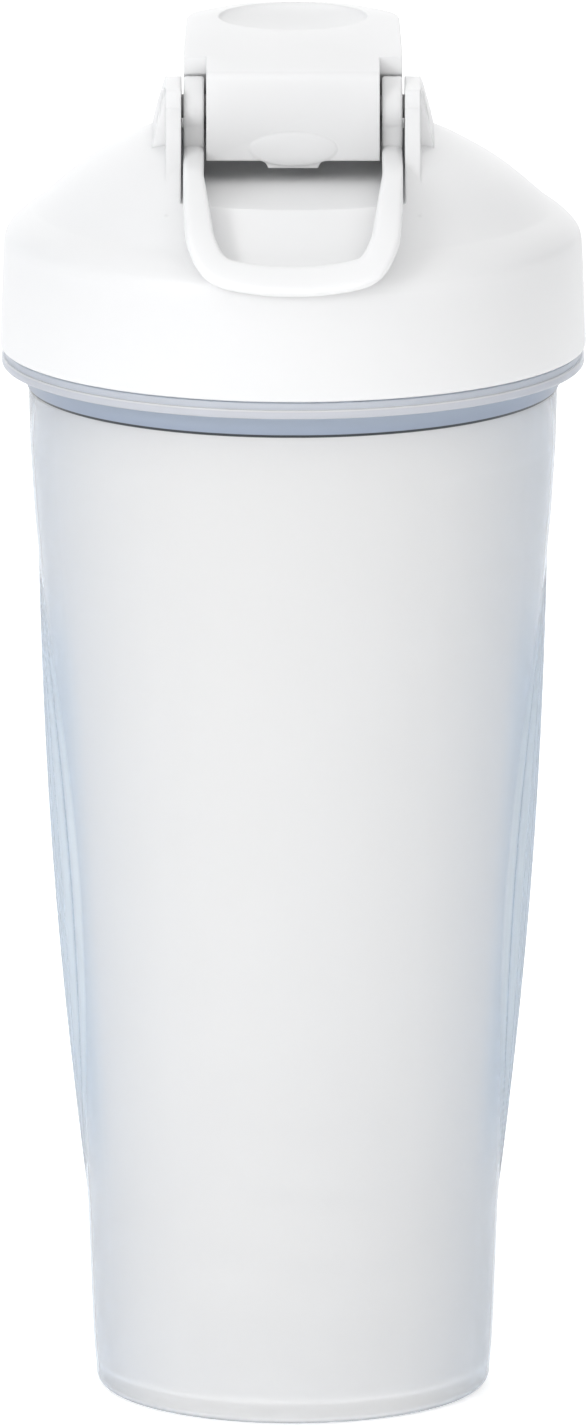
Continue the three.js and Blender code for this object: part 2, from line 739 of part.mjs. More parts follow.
const bottle = new THREE.Group();
const screwLid = new THREE.Group();
const pin = makePin();
screwLid.add(
  meshOf("lid", makeLid(), white),
  meshOf("lid_seal", makeSeal(), rubber),
  meshOf("hinge_pin_right", pin, white),
  meshOf("hinge_pin_left", mirrored(pin), white),
  meshOf("flip_cap", makeCap(), white),
  meshOf("spout_plug", makePlug(), rubber),
  meshOf("carry_loop", makeLoop(), white),
);
bottle.add(meshOf("cup", makeCup(), frosted), meshOf("whisk_ball", makeBall(), steel), screwLid);

export default bottle;
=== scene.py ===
"""Protein shaker bottle: frosted cup, white screw lid, flip cap, carry loop and wire whisk ball.

Lengths in the classes are in millimetres, in the model's own frame: +Z up, the spout towards +Y
and the carry loop towards -Y. Meshes are scaled to metres when they are made.
"""

import logging
import math
from dataclasses import dataclass, field
from enum import Enum
from typing import Any, Callable, Iterable, Sequence

import bmesh
import bpy
from mathutils import Matrix, Vector


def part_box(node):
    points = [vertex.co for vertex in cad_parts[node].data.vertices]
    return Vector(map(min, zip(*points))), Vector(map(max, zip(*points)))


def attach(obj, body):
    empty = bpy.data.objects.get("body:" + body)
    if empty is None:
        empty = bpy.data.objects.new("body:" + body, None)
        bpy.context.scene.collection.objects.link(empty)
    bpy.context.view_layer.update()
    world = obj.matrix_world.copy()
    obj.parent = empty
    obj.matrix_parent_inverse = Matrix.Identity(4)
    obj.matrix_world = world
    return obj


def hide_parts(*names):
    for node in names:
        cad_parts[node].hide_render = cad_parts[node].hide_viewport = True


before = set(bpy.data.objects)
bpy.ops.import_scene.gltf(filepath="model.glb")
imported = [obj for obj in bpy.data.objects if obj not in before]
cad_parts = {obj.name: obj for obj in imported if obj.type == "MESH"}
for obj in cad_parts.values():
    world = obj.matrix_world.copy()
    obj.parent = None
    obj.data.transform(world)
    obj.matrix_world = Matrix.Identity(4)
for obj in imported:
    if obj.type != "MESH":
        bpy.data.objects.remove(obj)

LOG = logging.getLogger("shaker")
MM = 0.001
ROUND = 216  # facets round the cup and the lid
SPOUT_Y = 15.0  # the spout's axis, which the stopper shares
PLAY = 0.25  # round a pin or its head

Point = tuple[float, float]
Outline = list[Point]


class Body(Enum):
    """The moving bodies of the frame."""

    CUP = "cup"
    SEAL = "lid_lift"
    LID = "lid"
    CAP = "flip_cap"
    LOOP = "carry_loop"
    WHISK = "whisk_ball"


class Slot(Enum):
    """The record's material slots."""

    FROSTED = "frosted_plastic"
    WHITE = "white_plastic"
    RUBBER = "soft_rubber"
    STEEL = "steel_wire"


def low_mm(node: str) -> Vector:
    """Lowest corner of a frame node, in millimetres."""
    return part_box(node)[0] / MM


def high_mm(node: str) -> Vector:
    """Highest corner of a frame node, in millimetres."""
    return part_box(node)[1] / MM


# ---- Node graphs -----------------------------------------------------------------------------


class Signal:
    """A node's output that adds Math nodes when it is used in an expression."""

    def __init__(self, graph: "Graph", socket: bpy.types.NodeSocket) -> None:
        """Wraps one output socket of a graph."""
        self.graph = graph
        self.socket = socket

    def _math(self, operation: str, first: Any, second: Any) -> "Signal":
        """Adds one Math node and returns its output."""
        return self.graph.node("ShaderNodeMath", {"operation": operation}, {0: first, 1: second})

    def __add__(self, other: Any) -> "Signal":
        """self + other."""
        return self._math("ADD", self, other)

    __radd__ = __add__

    def __sub__(self, other: Any) -> "Signal":
        """self - other."""
        return self._math("SUBTRACT", self, other)

    def __rsub__(self, other: Any) -> "Signal":
        """other - self."""
        return self._math("SUBTRACT", other, self)

    def __mul__(self, other: Any) -> "Signal":
        """self * other."""
        return self._math("MULTIPLY", self, other)

    __rmul__ = __mul__

    def __truediv__(self, other: Any) -> "Signal":
        """self / other."""
        return self._math("DIVIDE", self, other)

    def wave(self) -> "Signal":
        """The sine of the value."""
        return self._math("SINE", self, 0.0)

    def cosine(self) -> "Signal":
        """The cosine of the value."""
        return self._math("COSINE", self, 0.0)


class Graph:
    """A node tree that nodes are added to by one method."""

    def __init__(self, tree: bpy.types.NodeTree) -> None:
        """Empties the tree and keeps it."""
        tree.nodes.clear()
        self.tree = tree

    def node(
        self,
        kind: str,
        settings: dict[str, Any] | None = None,
        sockets: dict[int | str, Any] | None = None,
        output: int | str = 0,
    ) -> Signal:
        """Adds a node.

        Args:
            kind: The node's type.
            settings: Its own properties, set before its sockets.
            sockets: Values or signals for its inputs, by index or name.
            output: The output to return, by index or name.

        Returns:
            The chosen output as a signal.
        """
        return Signal(self, self.add(kind, settings, sockets).outputs[output])

    def add(
        self, kind: str, settings: dict[str, Any] | None, sockets: dict[int | str, Any] | None
    ) -> bpy.types.Node:
        """Adds a node, its settings first and then its inputs."""
        made = self.tree.nodes.new(kind)
        for name, value in (settings or {}).items():
            setattr(made, name, value)
        for key, value in (sockets or {}).items():
            self.feed(made.inputs[key], value)
        return made

    def smooth(self, value: Signal, low: float, high: float) -> Signal:
        """A smooth step from 0 at low to 1 at high."""
        settings = {"interpolation_type": "SMOOTHSTEP"}
        return self.node("ShaderNodeMapRange", settings, {0: value, 1: low, 2: high})

    def feed(self, socket: bpy.types.NodeSocket, value: Any) -> None:
        """Links a signal to an input, or sets the input's own value."""
        if isinstance(value, Signal):
            self.tree.links.new(value.socket, socket)
        else:
            socket.default_value = value


class Surface(Graph):
    """A material's node tree, with the nodes that every finish here shares."""

    def __init__(self, name: str) -> None:
        """Makes the material and its coordinate source."""
        self.material = bpy.data.materials.new(name)
        self.material.use_nodes = True
        super().__init__(self.material.node_tree)
        self.place = self.node("ShaderNodeTexCoord", output="Object")

    def noise(self, scale: float, detail: float = 2.0, stretch: Sequence[float] = (1, 1, 1)) -> Signal:
        """Smooth noise on the object's own coordinates.

        Args:
            scale: Features per metre.
            detail: Octaves.
            stretch: Scale of each axis.

        Returns:
            A value about 0.5.
        """
        spread = self.node("ShaderNodeMapping", None, {"Vector": self.place, "Scale": stretch})
        settings = {"noise_dimensions": "3D"}
        sockets = {"Vector": spread, "Scale": scale, "Detail": detail, "Roughness": 0.5}
        return self.node("ShaderNodeTexNoise", settings, sockets, 0)

    def blend(self, amount: Signal, first: Sequence[float], second: Sequence[float]) -> Signal:
        """Mixes two colours by a signal."""
        settings = {"data_type": "RGBA", "clamp_factor": True}
        sockets = {0: amount, 6: (*first, 1.0), 7: (*second, 1.0)}
        return self.node("ShaderNodeMix", settings, sockets, 2)

    def times(self, first: Signal, second: Signal) -> Signal:
        """The product of two colours."""
        settings = {"data_type": "RGBA", "blend_type": "MULTIPLY"}
        return self.node("ShaderNodeMix", settings, {0: 1.0, 6: first, 7: second}, 2)

    def axis(self, name: str) -> Signal:
        """The place along one axis, in millimetres."""
        return self.node("ShaderNodeSeparateXYZ", None, {"Vector": self.place}, name) / MM

    def painted_bands(self, painted_flange_light: Sequence[tuple[float, Sequence[float]]]) -> Signal:
        """A colour that changes with height, from a table of heights in millimetres and their colours; its
        one use paints light and shade round the flange.
        """
        low, high = painted_flange_light[0][0], painted_flange_light[-1][0]
        share = (self.axis("Z") - low) / (high - low)
        ramp_node = self.add("ShaderNodeValToRGB", None, {"Fac": share})
        elements = ramp_node.color_ramp.elements
        for level, colour in painted_flange_light[1:-1]:
            elements.new((level - low) / (high - low)).color = (*colour, 1.0)
        elements[0].color = (*painted_flange_light[0][1], 1.0)
        elements[-1].color = (*painted_flange_light[-1][1], 1.0)
        return Signal(self, ramp_node.outputs["Color"])

    def bumpy(self, height: Signal, distance: float, strength: float, normal: Signal | None) -> Signal:
        """A Bump node over an optional base normal."""
        sockets = {"Height": height, "Distance": distance, "Strength": strength}
        if normal is not None:
            sockets["Normal"] = normal
        return self.node("ShaderNodeBump", None, sockets)

    def soft_edges(self, radius: float) -> Signal:
        """A normal that rounds the mesh's edges."""
        return self.node("ShaderNodeBevel", {"samples": 6}, {"Radius": radius})

    def close(self, shader: Signal) -> bpy.types.Material:
        """Links the shader to the output and returns the material."""
        self.add("ShaderNodeOutputMaterial", None, {"Surface": shader})
        return self.material


# ---- Finishes --------------------------------------------------------------------------------


@dataclass(frozen=True)
class MouldedFinish:
    """Opaque moulded plastic or rubber with a fine grain."""

    name: str
    colour: tuple[float, float, float]
    shade: tuple[float, float, float]
    roughness: float
    spread: float
    grain: float = 900.0
    grain_depth: float = 0.00003
    edge: float = 0.0005
    softness: float = 0.1

    def build(self) -> bpy.types.Material:
        """Makes the material."""
        surface = Surface(self.name)
        broad = surface.noise(22.0, 2.0)
        fine = surface.noise(self.grain, 3.0)
        colour = surface.blend(broad * 1.4 - 0.2, self.colour, self.shade)
        rough = (broad - 0.5) * self.spread + (fine - 0.5) * self.spread + self.roughness
        edges = surface.soft_edges(self.edge)
        normal = surface.bumpy(fine, self.grain_depth, 0.25, edges)
        sockets = {
            "Base Color": colour,
            "Roughness": rough,
            "Normal": normal,
            "Subsurface Weight": self.softness,
            "Subsurface Radius": (0.004, 0.004, 0.004),
            "Subsurface Scale": 1.0,
        }
        return surface.close(surface.node("ShaderNodeBsdfPrincipled", None, sockets))


@dataclass(frozen=True)
class FrostedFinish:
    """Milky polypropylene whose wall turns glassy and bluer where it is seen edge-on, with painted shade
    and highlight lines on the flange and the band under it, and painted bluish shade at the sides.
    """

    name: str = "frosted_polypropylene"
    colour: tuple[float, float, float] = (0.99, 0.98, 0.965)
    shade: tuple[float, float, float] = (0.98, 0.975, 0.97)
    roughness: float = 0.3
    clearness: float = 0.42
    glow: float = 0.15
    glass: tuple[float, float, float] = (0.45, 0.65, 0.96)
    glass_shade: tuple[float, float, float] = (0.41, 0.62, 0.95)
    glass_roughness: float = 0.16
    limb: float = 1.0
    flange_limb: float = 0.35
    # grip is the colour of the painted bluish side shade, not a colour of the grips
    grip: tuple[float, float, float] = (0.86, 0.93, 0.99)
    side_shade_heights: tuple[float, float] = (32.0, 146.0)
    # painted light round the flange: a painted highlight line at 171.95, a painted shade line from 172.05
    # to 172.45, painted shade of the flange's shadow on the band under it up to 175.9, painted shade on the
    # flange's faces, and a painted highlight line from 177.3 to 177.55
    painted_flange_light: tuple[tuple[float, tuple[float, float, float]], ...] = (
        (171.95, (1.0, 1.0, 1.0)),
        (172.05, (0.04, 0.05, 0.06)),
        (172.45, (0.04, 0.05, 0.06)),
        (172.55, (0.49, 0.57, 0.71)),
        (175.90, (0.62, 0.70, 0.81)),
        (176.10, (0.84, 0.86, 0.91)),
        (177.20, (0.86, 0.87, 0.92)),
        (177.30, (1.0, 1.0, 1.0)),
        (177.55, (1.0, 1.0, 1.0)),
        (177.65, (0.80, 0.84, 0.91)),
        (178.70, (0.80, 0.84, 0.91)),
    )

    def painted_side_shade(self, surface: Surface) -> Signal:
        """Painted bluish shade at both sides of the cup, over the grips, where the wall is seen edge-on
        from the front.
        """
        across, along, height = (surface.axis(name) for name in "XYZ")
        side = surface.smooth(across * across / (across * across + along * along), 0.72, 0.92)
        low, high = self.side_shade_heights
        reach = surface.smooth(height, low, low + 25) * (1 - surface.smooth(height, high - 25, high))
        return surface.blend(side * reach, (1.0, 1.0, 1.0), self.grip)

    def build(self) -> bpy.types.Material:
        """Makes the material."""
        surface = Surface(self.name)
        broad = surface.noise(14.0, 2.0, (1, 1, 0.35))
        # grips carries the painted bluish side shade, used on the milky and the glassy wall
        grips = self.painted_side_shade(surface)
        # painted shade and highlights by height, times the painted bluish side shade
        painted_bands = surface.times(surface.painted_bands(self.painted_flange_light), grips)
        colour = surface.times(painted_bands, surface.blend(broad * 1.4 - 0.2, self.colour, self.shade))
        rough = (broad - 0.5) * 0.1 + self.roughness
        principled = "ShaderNodeBsdfPrincipled"
        milk_sockets = {"Base Color": colour, "Roughness": rough, "IOR": 1.49}
        milk_sockets["Transmission Weight"] = self.clearness
        milk = surface.node(principled, None, milk_sockets)
        through = surface.node("ShaderNodeBsdfTranslucent", None, {"Color": colour})
        milky = surface.node("ShaderNodeMixShader", None, {0: self.glow, 1: milk, 2: through})
        tint = surface.times(grips, surface.blend(broad * 1.4 - 0.2, self.glass, self.glass_shade))
        glass_sockets = {"Base Color": tint, "IOR": 1.49, "Transmission Weight": 1.0}
        glass_sockets["Roughness"] = (broad - 0.5) * 0.06 + self.glass_roughness
        glass = surface.node(principled, None, glass_sockets)
        facing = surface.node("ShaderNodeLayerWeight", None, {"Blend": 0.5}, "Facing")
        heights = {0: surface.axis("Z"), 1: self.painted_flange_light[0][0]}
        below = surface.node("ShaderNodeMath", {"operation": "LESS_THAN"}, heights)
        edge = facing * facing * self.limb * (below * (1 - self.flange_limb) + self.flange_limb)
        whole = surface.node("ShaderNodeMixShader", None, {0: edge, 1: milky, 2: glass})
        return surface.close(whole)


@dataclass(frozen=True)
class WireFinish:
    """Bright drawn steel wire."""

    name: str = "drawn_steel"
    colour: tuple[float, float, float] = (0.74, 0.75, 0.77)
    shade: tuple[float, float, float] = (0.62, 0.63, 0.66)

    def build(self) -> bpy.types.Material:
        """Makes the material."""
        surface = Surface(self.name)
        drawn = surface.noise(420.0, 3.0, (1, 1, 4))
        colour = surface.blend(drawn, self.colour, self.shade)
        sockets = {
            "Base Color": colour,
            "Metallic": 1.0,
            "Roughness": (drawn - 0.5) * 0.2 + 0.27,
            "Normal": surface.bumpy(drawn, 0.00002, 0.3, None),
        }
        return surface.close(surface.node("ShaderNodeBsdfPrincipled", None, sockets))


WHITE = MouldedFinish(
    "white_polypropylene", (0.80, 0.80, 0.80), (0.78, 0.78, 0.78), 0.42, 0.1, softness=0.4
)
RUBBER = MouldedFinish(
    "white_silicone", (0.78, 0.78, 0.77), (0.72, 0.72, 0.71), 0.66, 0.12, 500.0, 0.00004, 0.0003, 0.25
)


# ---- Meshes ----------------------------------------------------------------------------------


def arc(centre: Point, radius: float, start: float, end: float, steps: int) -> Outline:
    """Points along a circular arc, from a start to an end angle in degrees."""
    angles = [math.radians(start + (end - start) * i / steps) for i in range(steps + 1)]
    return [(centre[0] + radius * math.cos(a), centre[1] + radius * math.sin(a)) for a in angles]


def bezier(first: Point, handle: Point, last: Point, steps: int) -> Outline:
    """Points on a quadratic curve, without its first one."""
    made = []
    for i in range(1, steps + 1):
        t = i / steps
        weights = ((1 - t) ** 2, 2 * t * (1 - t), t * t)
        made.append(tuple(sum(w * p[k] for w, p in zip(weights, (first, handle, last))) for k in (0, 1)))
    return made


def through(points: Sequence[Point], steps: int) -> Outline:
    """Points on a smooth curve through a few points, with a number of steps between two of them."""
    padded = [points[0], *points, points[-1]]
    made: Outline = []
    for a, b, c, d in zip(padded, padded[1:], padded[2:], padded[3:]):
        for i in range(steps):
            t = i / steps
            made.append(
                tuple(
                    0.5
                    * (
                        2 * b[k]
                        + (c[k] - a[k]) * t
                        + (2 * a[k] - 5 * b[k] + 4 * c[k] - d[k]) * t * t
                        + (3 * b[k] - a[k] - 3 * c[k] + d[k]) * t**3
                    )
                    for k in (0, 1)
                )
            )
    return [*made, tuple(points[-1])]


def ramp(low: float, high: float, value: float) -> float:
    """A smooth step from 0 at low to 1 at high."""
    share = min(1.0, max(0.0, (value - low) / (high - low)))
    return share * share * (3 - 2 * share)


def mesh_object(name: str, vertices: Iterable[Vector], faces: Iterable[Sequence[int]]) -> bpy.types.Object:
    """Makes an object in the scene from vertices in millimetres, with its faces pointing out."""
    mesh = bpy.data.meshes.new(name)
    mesh.from_pydata([tuple(Vector(v) * MM) for v in vertices], [], [tuple(f) for f in faces])
    work = bmesh.new()
    work.from_mesh(mesh)
    bmesh.ops.remove_doubles(work, verts=work.verts, dist=1e-7)
    bmesh.ops.recalc_face_normals(work, faces=work.faces)
    work.to_mesh(mesh)
    work.free()
    made = bpy.data.objects.new(name, mesh)
    bpy.context.scene.collection.objects.link(made)
    return made


def revolved(
    name: str,
    outline: Outline,
    facets: int | Sequence[float] = ROUND,
    shape: Callable[[float, float, float], float] | None = None,
) -> bpy.types.Object:
    """Turns a closed outline about the Z axis.

    Args:
        name: The object's name.
        outline: Radius and height of each point, the last one joining the first.
        facets: Steps round the axis, or their angles.
        shape: Gives the radius for an angle, a radius and a height.

    Returns:
        The closed mesh.
    """
    angles = [2 * math.pi * k / facets for k in range(facets)] if isinstance(facets, int) else facets
    vertices = []
    for angle in angles:
        for radius, height in outline:
            r = shape(angle, radius, height) if shape else radius
            vertices.append(Vector((r * math.cos(angle), r * math.sin(angle), height)))
    count = len(outline)
    faces = []
    for step in range(len(angles)):
        here, there = step * count, (step + 1) % len(angles) * count
        for k in range(count):
            after = (k + 1) % count
            if outline[k][0] == 0 and outline[after][0] == 0:
                continue
            faces.append((here + k, there + k, there + after, here + after))
    return mesh_object(name, vertices, faces)


def swept(name: str, rings: Sequence[Sequence[Vector]]) -> bpy.types.Object:
    """Skins a row of rings with the same number of points, and closes both ends."""
    count = len(rings[0])
    faces: list[Sequence[int]] = []
    for i in range(len(rings) - 1):
        for k in range(count):
            after = (k + 1) % count
            faces.append((i * count + k, i * count + after, (i + 1) * count + after, (i + 1) * count + k))
    last = (len(rings) - 1) * count
    faces.append(tuple(reversed(range(count))))
    faces.append(tuple(range(last, last + count)))
    return mesh_object(name, [p for ring in rings for p in ring], faces)


def prism(name: str, outline: Outline, axis: str, low: float, high: float) -> bpy.types.Object:
    """Extrudes an outline along an axis.

    Args:
        name: The object's name.
        outline: Points in the other two axes, in the order X, Y, Z.
        axis: The letter of the axis.
        low: Where the prism starts.
        high: Where it ends.

    Returns:
        The closed mesh.
    """
    put = {
        "X": lambda p, t: Vector((t, p[0], p[1])),
        "Y": lambda p, t: Vector((p[0], t, p[1])),
        "Z": lambda p, t: Vector((p[0], p[1], t)),
    }[axis]
    return swept(name, [[put(p, t) for p in outline] for t in (low, high)])


def rod(name: str, centre: Point, outline: Outline, facets: int = 64) -> bpy.types.Object:
    """Turns an outline of radius and place along X about an axis through a point in Y and Z."""
    made = revolved(name, outline, facets)
    turn = Matrix.Rotation(math.radians(90), 4, "Y")
    made.data.transform(Matrix.Translation((0, centre[0] * MM, centre[1] * MM)) @ turn)
    return made


def drum(radius: float, low: float, high: float) -> Outline:
    """The outline of a plain cylinder for revolved or rod."""
    return [(0, low), (radius, low), (radius, high), (0, high)]


def baked(item: bpy.types.Object) -> bpy.types.Object:
    """Makes an object's modifiers part of its mesh."""
    bpy.context.view_layer.update()
    graph = bpy.context.evaluated_depsgraph_get()
    mesh = bpy.data.meshes.new_from_object(item.evaluated_get(graph))
    item.modifiers.clear()
    item.data = mesh
    return item


def combined(item: bpy.types.Object, operation: str, *tools: bpy.types.Object) -> bpy.types.Object:
    """Joins tools to a mesh, cuts them from it or keeps what is common, and removes the tools."""
    for tool in tools:
        change = item.modifiers.new(operation, "BOOLEAN")
        change.operation = operation
        change.solver = "MANIFOLD"
        change.object = tool
    baked(item)
    for tool in tools:
        bpy.data.objects.remove(tool)
    return item


def rounded(item: bpy.types.Object, width: float, angle: float = 32, segments: int = 3) -> bpy.types.Object:
    """Rounds the edges that are sharper than an angle."""
    bevel = item.modifiers.new("edges", "BEVEL")
    bevel.width = width * MM
    bevel.segments = segments
    bevel.limit_method = "ANGLE"
    bevel.angle_limit = math.radians(angle)
    bevel.use_clamp_overlap = True
    return baked(item)


def mirrored(item: bpy.types.Object, name: str) -> bpy.types.Object:
    """A copy of a mesh on the other side of the YZ plane."""
    copy = bpy.data.objects.new(name, item.data.copy())
    bpy.context.scene.collection.objects.link(copy)
    copy.data.transform(Matrix.Scale(-1, 4, (1, 0, 0)))
    copy.data.flip_normals()
    return copy


def smooth_shaded(item: bpy.types.Object, angle: float) -> bpy.types.Object:
    """Shades a mesh smooth, apart from edges sharper than an angle in degrees."""
    item.data.shade_smooth()
    item.data.set_sharp_from_angle(angle=math.radians(angle))
    return item


class Maker:
    """Gives pieces the material of their slot and their body, and reports them."""

    def __init__(self) -> None:
        """Builds each finish once."""
        self.looks = {
            Slot.WHITE: WHITE.build(),
            Slot.RUBBER: RUBBER.build(),
            Slot.FROSTED: FrostedFinish().build(),
            Slot.STEEL: WireFinish().build(),
        }

    def place(
        self, item: bpy.types.Object, body: Body, slot: Slot, stands_for: str = "", sharp: float = 38
    ) -> None:
        """Finishes a piece.

        Args:
            item: The mesh, at its place.
            body: The body that it rides on.
            slot: The record's slot that it is dressed from.
            stands_for: The frame node that it replaces, if any.
            sharp: Edges over this angle stay sharp.
        """
        smooth_shaded(item, sharp)
        item.data.materials.clear()
        item.data.materials.append(self.looks[slot])
        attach(item, body.value)
        if stands_for:
            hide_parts(stands_for)
        LOG.info("%s: %d faces on %s", item.name, len(item.data.polygons), body.value)


# ---- Cup -------------------------------------------------------------------------------------


@dataclass
class Cup:
    """The see-through cup with its grips, flange and threaded neck."""

    maker: Maker
    foot: float = 33.2
    corner: float = 1.8
    ring: float = 2.4
    recess: float = 0.9
    floor: float = 2.0
    wall: float = 1.5
    taper_low: Point = (34.6, 30.7)
    taper_high: Point = (42.9, 145.0)
    shoulder: Point = (44.2, 163.0)
    body: Point = (44.4, 176.0)
    band: Point = (0.3, 3.7)
    flange: Point = (48.9, 2.7)
    flange_step: float = 0.4
    neck: float = 44.6
    neck_wall: float = 2.0
    grip_low: float = 34.0
    grip_high: float = 143.0
    grip_proud: float = 1.55
    grip_half: float = 23.0
    ridges: float = 4.5
    ripple: float = 0.36
    rim: float = field(default_factory=lambda: high_mm("cup").z)

    def grip(self, angle: float, height: float) -> float:
        """How far a grip stands out of the wall at an angle and a height."""
        along = (height - self.grip_low) / (self.grip_high - self.grip_low)
        if not 0 < along < 1:
            return 0.0
        swell = math.sin(math.pi * along)
        away = abs(math.degrees(math.asin(math.sin(angle))))
        inward = 1 - away / (self.grip_half * swell**0.6)
        if inward <= 0:
            return 0.0
        base = ramp(0, 0.4, inward) * (1 - self.ripple)
        wave = 0.5 - 0.5 * math.cos(2 * math.pi * inward * self.ridges)
        return self.grip_proud * swell**0.92 * (base + self.ripple * wave)

    def angles(self) -> list[float]:
        """Steps round the cup, close together across the grips."""
        quarter = [k * 0.5 for k in range(52)] + [26 + k * 2 for k in range(32)]
        half = [*quarter, *[180 - a for a in reversed([*quarter, 90.0][1:-1])]]
        return [math.radians(a + turn) for turn in (0, 180) for a in half]

    def outside(self) -> Outline:
        """The outer wall from the foot ring to the rim."""
        edge = self.foot - self.corner
        low, high = self.taper_low, self.taper_high
        corner = arc((edge, self.corner), self.corner, -90, -2, 8)
        foot = through([(self.foot, self.corner + 0.5), (33.8, 10), low], 8)
        rings = 88
        taper = [
            (low[0] + (high[0] - low[0]) * i / rings, low[1] + (high[1] - low[1]) * i / rings)
            for i in range(1, rings)
        ]
        flare = through([high, (high[0] + 0.62, high[1] + 7), self.shoulder], 8)
        top = self.body[1]
        band_low = top - self.band[1]
        banded = self.body[0] + self.band[0]
        band = [(self.body[0], band_low - 0.1), (banded, band_low + 0.2), (banded, top - 0.5)]
        under = arc((banded + 0.5, top - 0.5), 0.5, 180, 90, 5)
        reach, thick = self.flange
        step = reach - self.flange_step
        middle = top + thick / 2
        lip = arc((reach - 0.35, top + 0.35), 0.35, -90, 0, 5)
        ledge = [*arc((reach - 0.2, middle), 0.2, 0, 90, 3), (step, middle + 0.2)]
        upper = arc((step - 0.25, top + thick - 0.25), 0.25, 0, 90, 4)
        neck = [(self.neck, top + thick), *arc((self.neck - 0.5, self.rim - 0.5), 0.5, 0, 90, 5)]
        return [*corner, *foot, *taper, *flare, *band, *under, *lip, *ledge, *upper, *neck]

    def inside(self) -> Outline:
        """The inner wall from the rim down to the middle of the floor."""
        thin = self.wall
        bore = self.neck - self.neck_wall
        floor = self.recess + self.floor
        down = [
            (self.body[0] - thin, self.body[1] - self.band[1]),
            (self.shoulder[0] - thin, self.shoulder[1]),
            (self.taper_high[0] - thin, self.taper_high[1]),
            (self.taper_low[0] - thin, self.taper_low[1]),
        ]
        corner = arc((self.foot - thin - 3, floor + 3), 3, 0, -90, 8)
        return [*arc((bore + 0.5, self.rim - 0.5), 0.5, 90, 180, 5), *down, *corner, (0, floor)]

    def underside(self) -> Outline:
        """The base from its middle, with the gate mark, to the foot ring."""
        ring = self.foot - self.corner - self.ring
        gate = [(0, self.recess - 0.4), (1.4, self.recess - 0.4), (1.7, self.recess)]
        return [*gate, *bezier((ring - 2, self.recess), (ring - 0.8, self.recess), (ring, 0), 5)]

    def build(self) -> None:
        """Makes the cup and its thread."""
        outline = [*self.underside(), *self.outside(), *self.inside()]

        def shape(angle: float, radius: float, height: float) -> float:
            """The radius with the grips on the outer wall."""
            share = (height - self.taper_low[1]) / (self.taper_high[1] - self.taper_low[1])
            wall = self.taper_low[0] + (self.taper_high[0] - self.taper_low[0]) * share
            outer = radius > wall - self.wall / 2 and height < self.taper_high[1]
            return radius + self.grip(angle, height) if outer else radius

        cup = revolved("cup_moulding", outline, self.angles(), shape)
        self.maker.place(cup, Body.CUP, Slot.FROSTED, "cup", 50)
        start = self.body[1] + self.flange[1] + 3
        thread = helix("cup_thread", Helix(self.neck, 1.5, start, 1.05, 0.0), self.maker)
        self.maker.place(thread, Body.CUP, Slot.FROSTED, sharp=60)


@dataclass(frozen=True)
class Helix:
    """A coarse thread ridge, which stands out of its wall, or in if its depth is negative."""

    wall: float
    depth: float
    start: float
    turns: float
    start_turn: float
    lead: float = 8.0
    root: float = 3.4
    crest: float = 1.8
    fade: float = 0.08


def helix(name: str, ridge: Helix, maker: Maker) -> bpy.types.Object:
    """Makes a thread ridge by Geometry Nodes.

    Args:
        name: The piece's name.
        ridge: Its sizes.
        maker: Gives the material.

    Returns:
        The closed ridge as a plain mesh.
    """
    tree = bpy.data.node_groups.new(name + "_nodes", "GeometryNodeTree")
    graph = Graph(tree)
    sizes = {
        "Wall": ridge.wall * MM,
        "Depth": ridge.depth * MM,
        "Start": ridge.start * MM,
        "Turns": ridge.turns,
        "Start Turn": ridge.start_turn,
        "Lead": ridge.lead * MM,
        "Root": ridge.root * MM,
        "Crest": ridge.crest * MM,
        "Fade": ridge.fade,
    }
    given = grouped(graph, sizes)
    steps, sides = round(ridge.turns * 96), 6
    cells = {"Size X": 1.0, "Size Y": 1.0, "Vertices X": steps + 1, "Vertices Y": sides}
    grid = graph.node("GeometryNodeMeshGrid", None, cells)
    index = graph.node("GeometryNodeInputIndex")
    column = graph.node("ShaderNodeMath", {"operation": "FLOOR"}, {0: (index + 0.5) / sides})
    row = index - column * sides
    turn = column / steps * given["Turns"]
    nearest = graph.node("ShaderNodeMath", {"operation": "MINIMUM"}, {0: turn, 1: given["Turns"] - turn})
    faded = graph.node("ShaderNodeMath", {"operation": "MINIMUM"}, {0: nearest / given["Fade"], 1: 1.0})
    crest = graph.node("ShaderNodeMath", {"operation": "COMPARE"}, {0: row, 1: 2.5, 2: 0.6})
    outermost = {0: (row - 2.5) * (row - 2.5), 1: 6.25, 2: 0.5}
    sunk = graph.node("ShaderNodeMath", {"operation": "COMPARE"}, outermost)
    height = crest * given["Depth"] * (faded * 0.9 + 0.1) - sunk * given["Depth"] * 0.33
    side = graph.node("ShaderNodeMath", {"operation": "SIGN"}, {0: row - 2.5})
    across = side * (crest * given["Crest"] + (1 - crest) * given["Root"]) * 0.5
    angle = (turn + given["Start Turn"]) * (2 * math.pi)
    radius = given["Wall"] + height
    spot = graph.node(
        "ShaderNodeCombineXYZ",
        None,
        {
            "X": radius * angle.cosine(),
            "Y": radius * angle.wave(),
            "Z": given["Start"] + given["Lead"] * turn + across,
        },
    )
    moved = graph.node("GeometryNodeSetPosition", None, {"Geometry": grid, "Position": spot})
    return grown(name, graph, moved, sizes, maker.looks[Slot.FROSTED], close=(steps, sides))


def grouped(graph: Graph, sizes: dict[str, float]) -> dict[str, Signal]:
    """Adds named inputs to a Geometry Nodes tree.

    Args:
        graph: The tree's graph, which is empty.
        sizes: Each input's name and value.

    Returns:
        Each input as a signal.
    """
    faces = graph.tree.interface
    faces.new_socket("Geometry", in_out="OUTPUT", socket_type="NodeSocketGeometry")
    for name in sizes:
        faces.new_socket(name, in_out="INPUT", socket_type="NodeSocketFloat")
    entry = graph.add("NodeGroupInput", None, None)
    return {name: Signal(graph, entry.outputs[name]) for name in sizes}


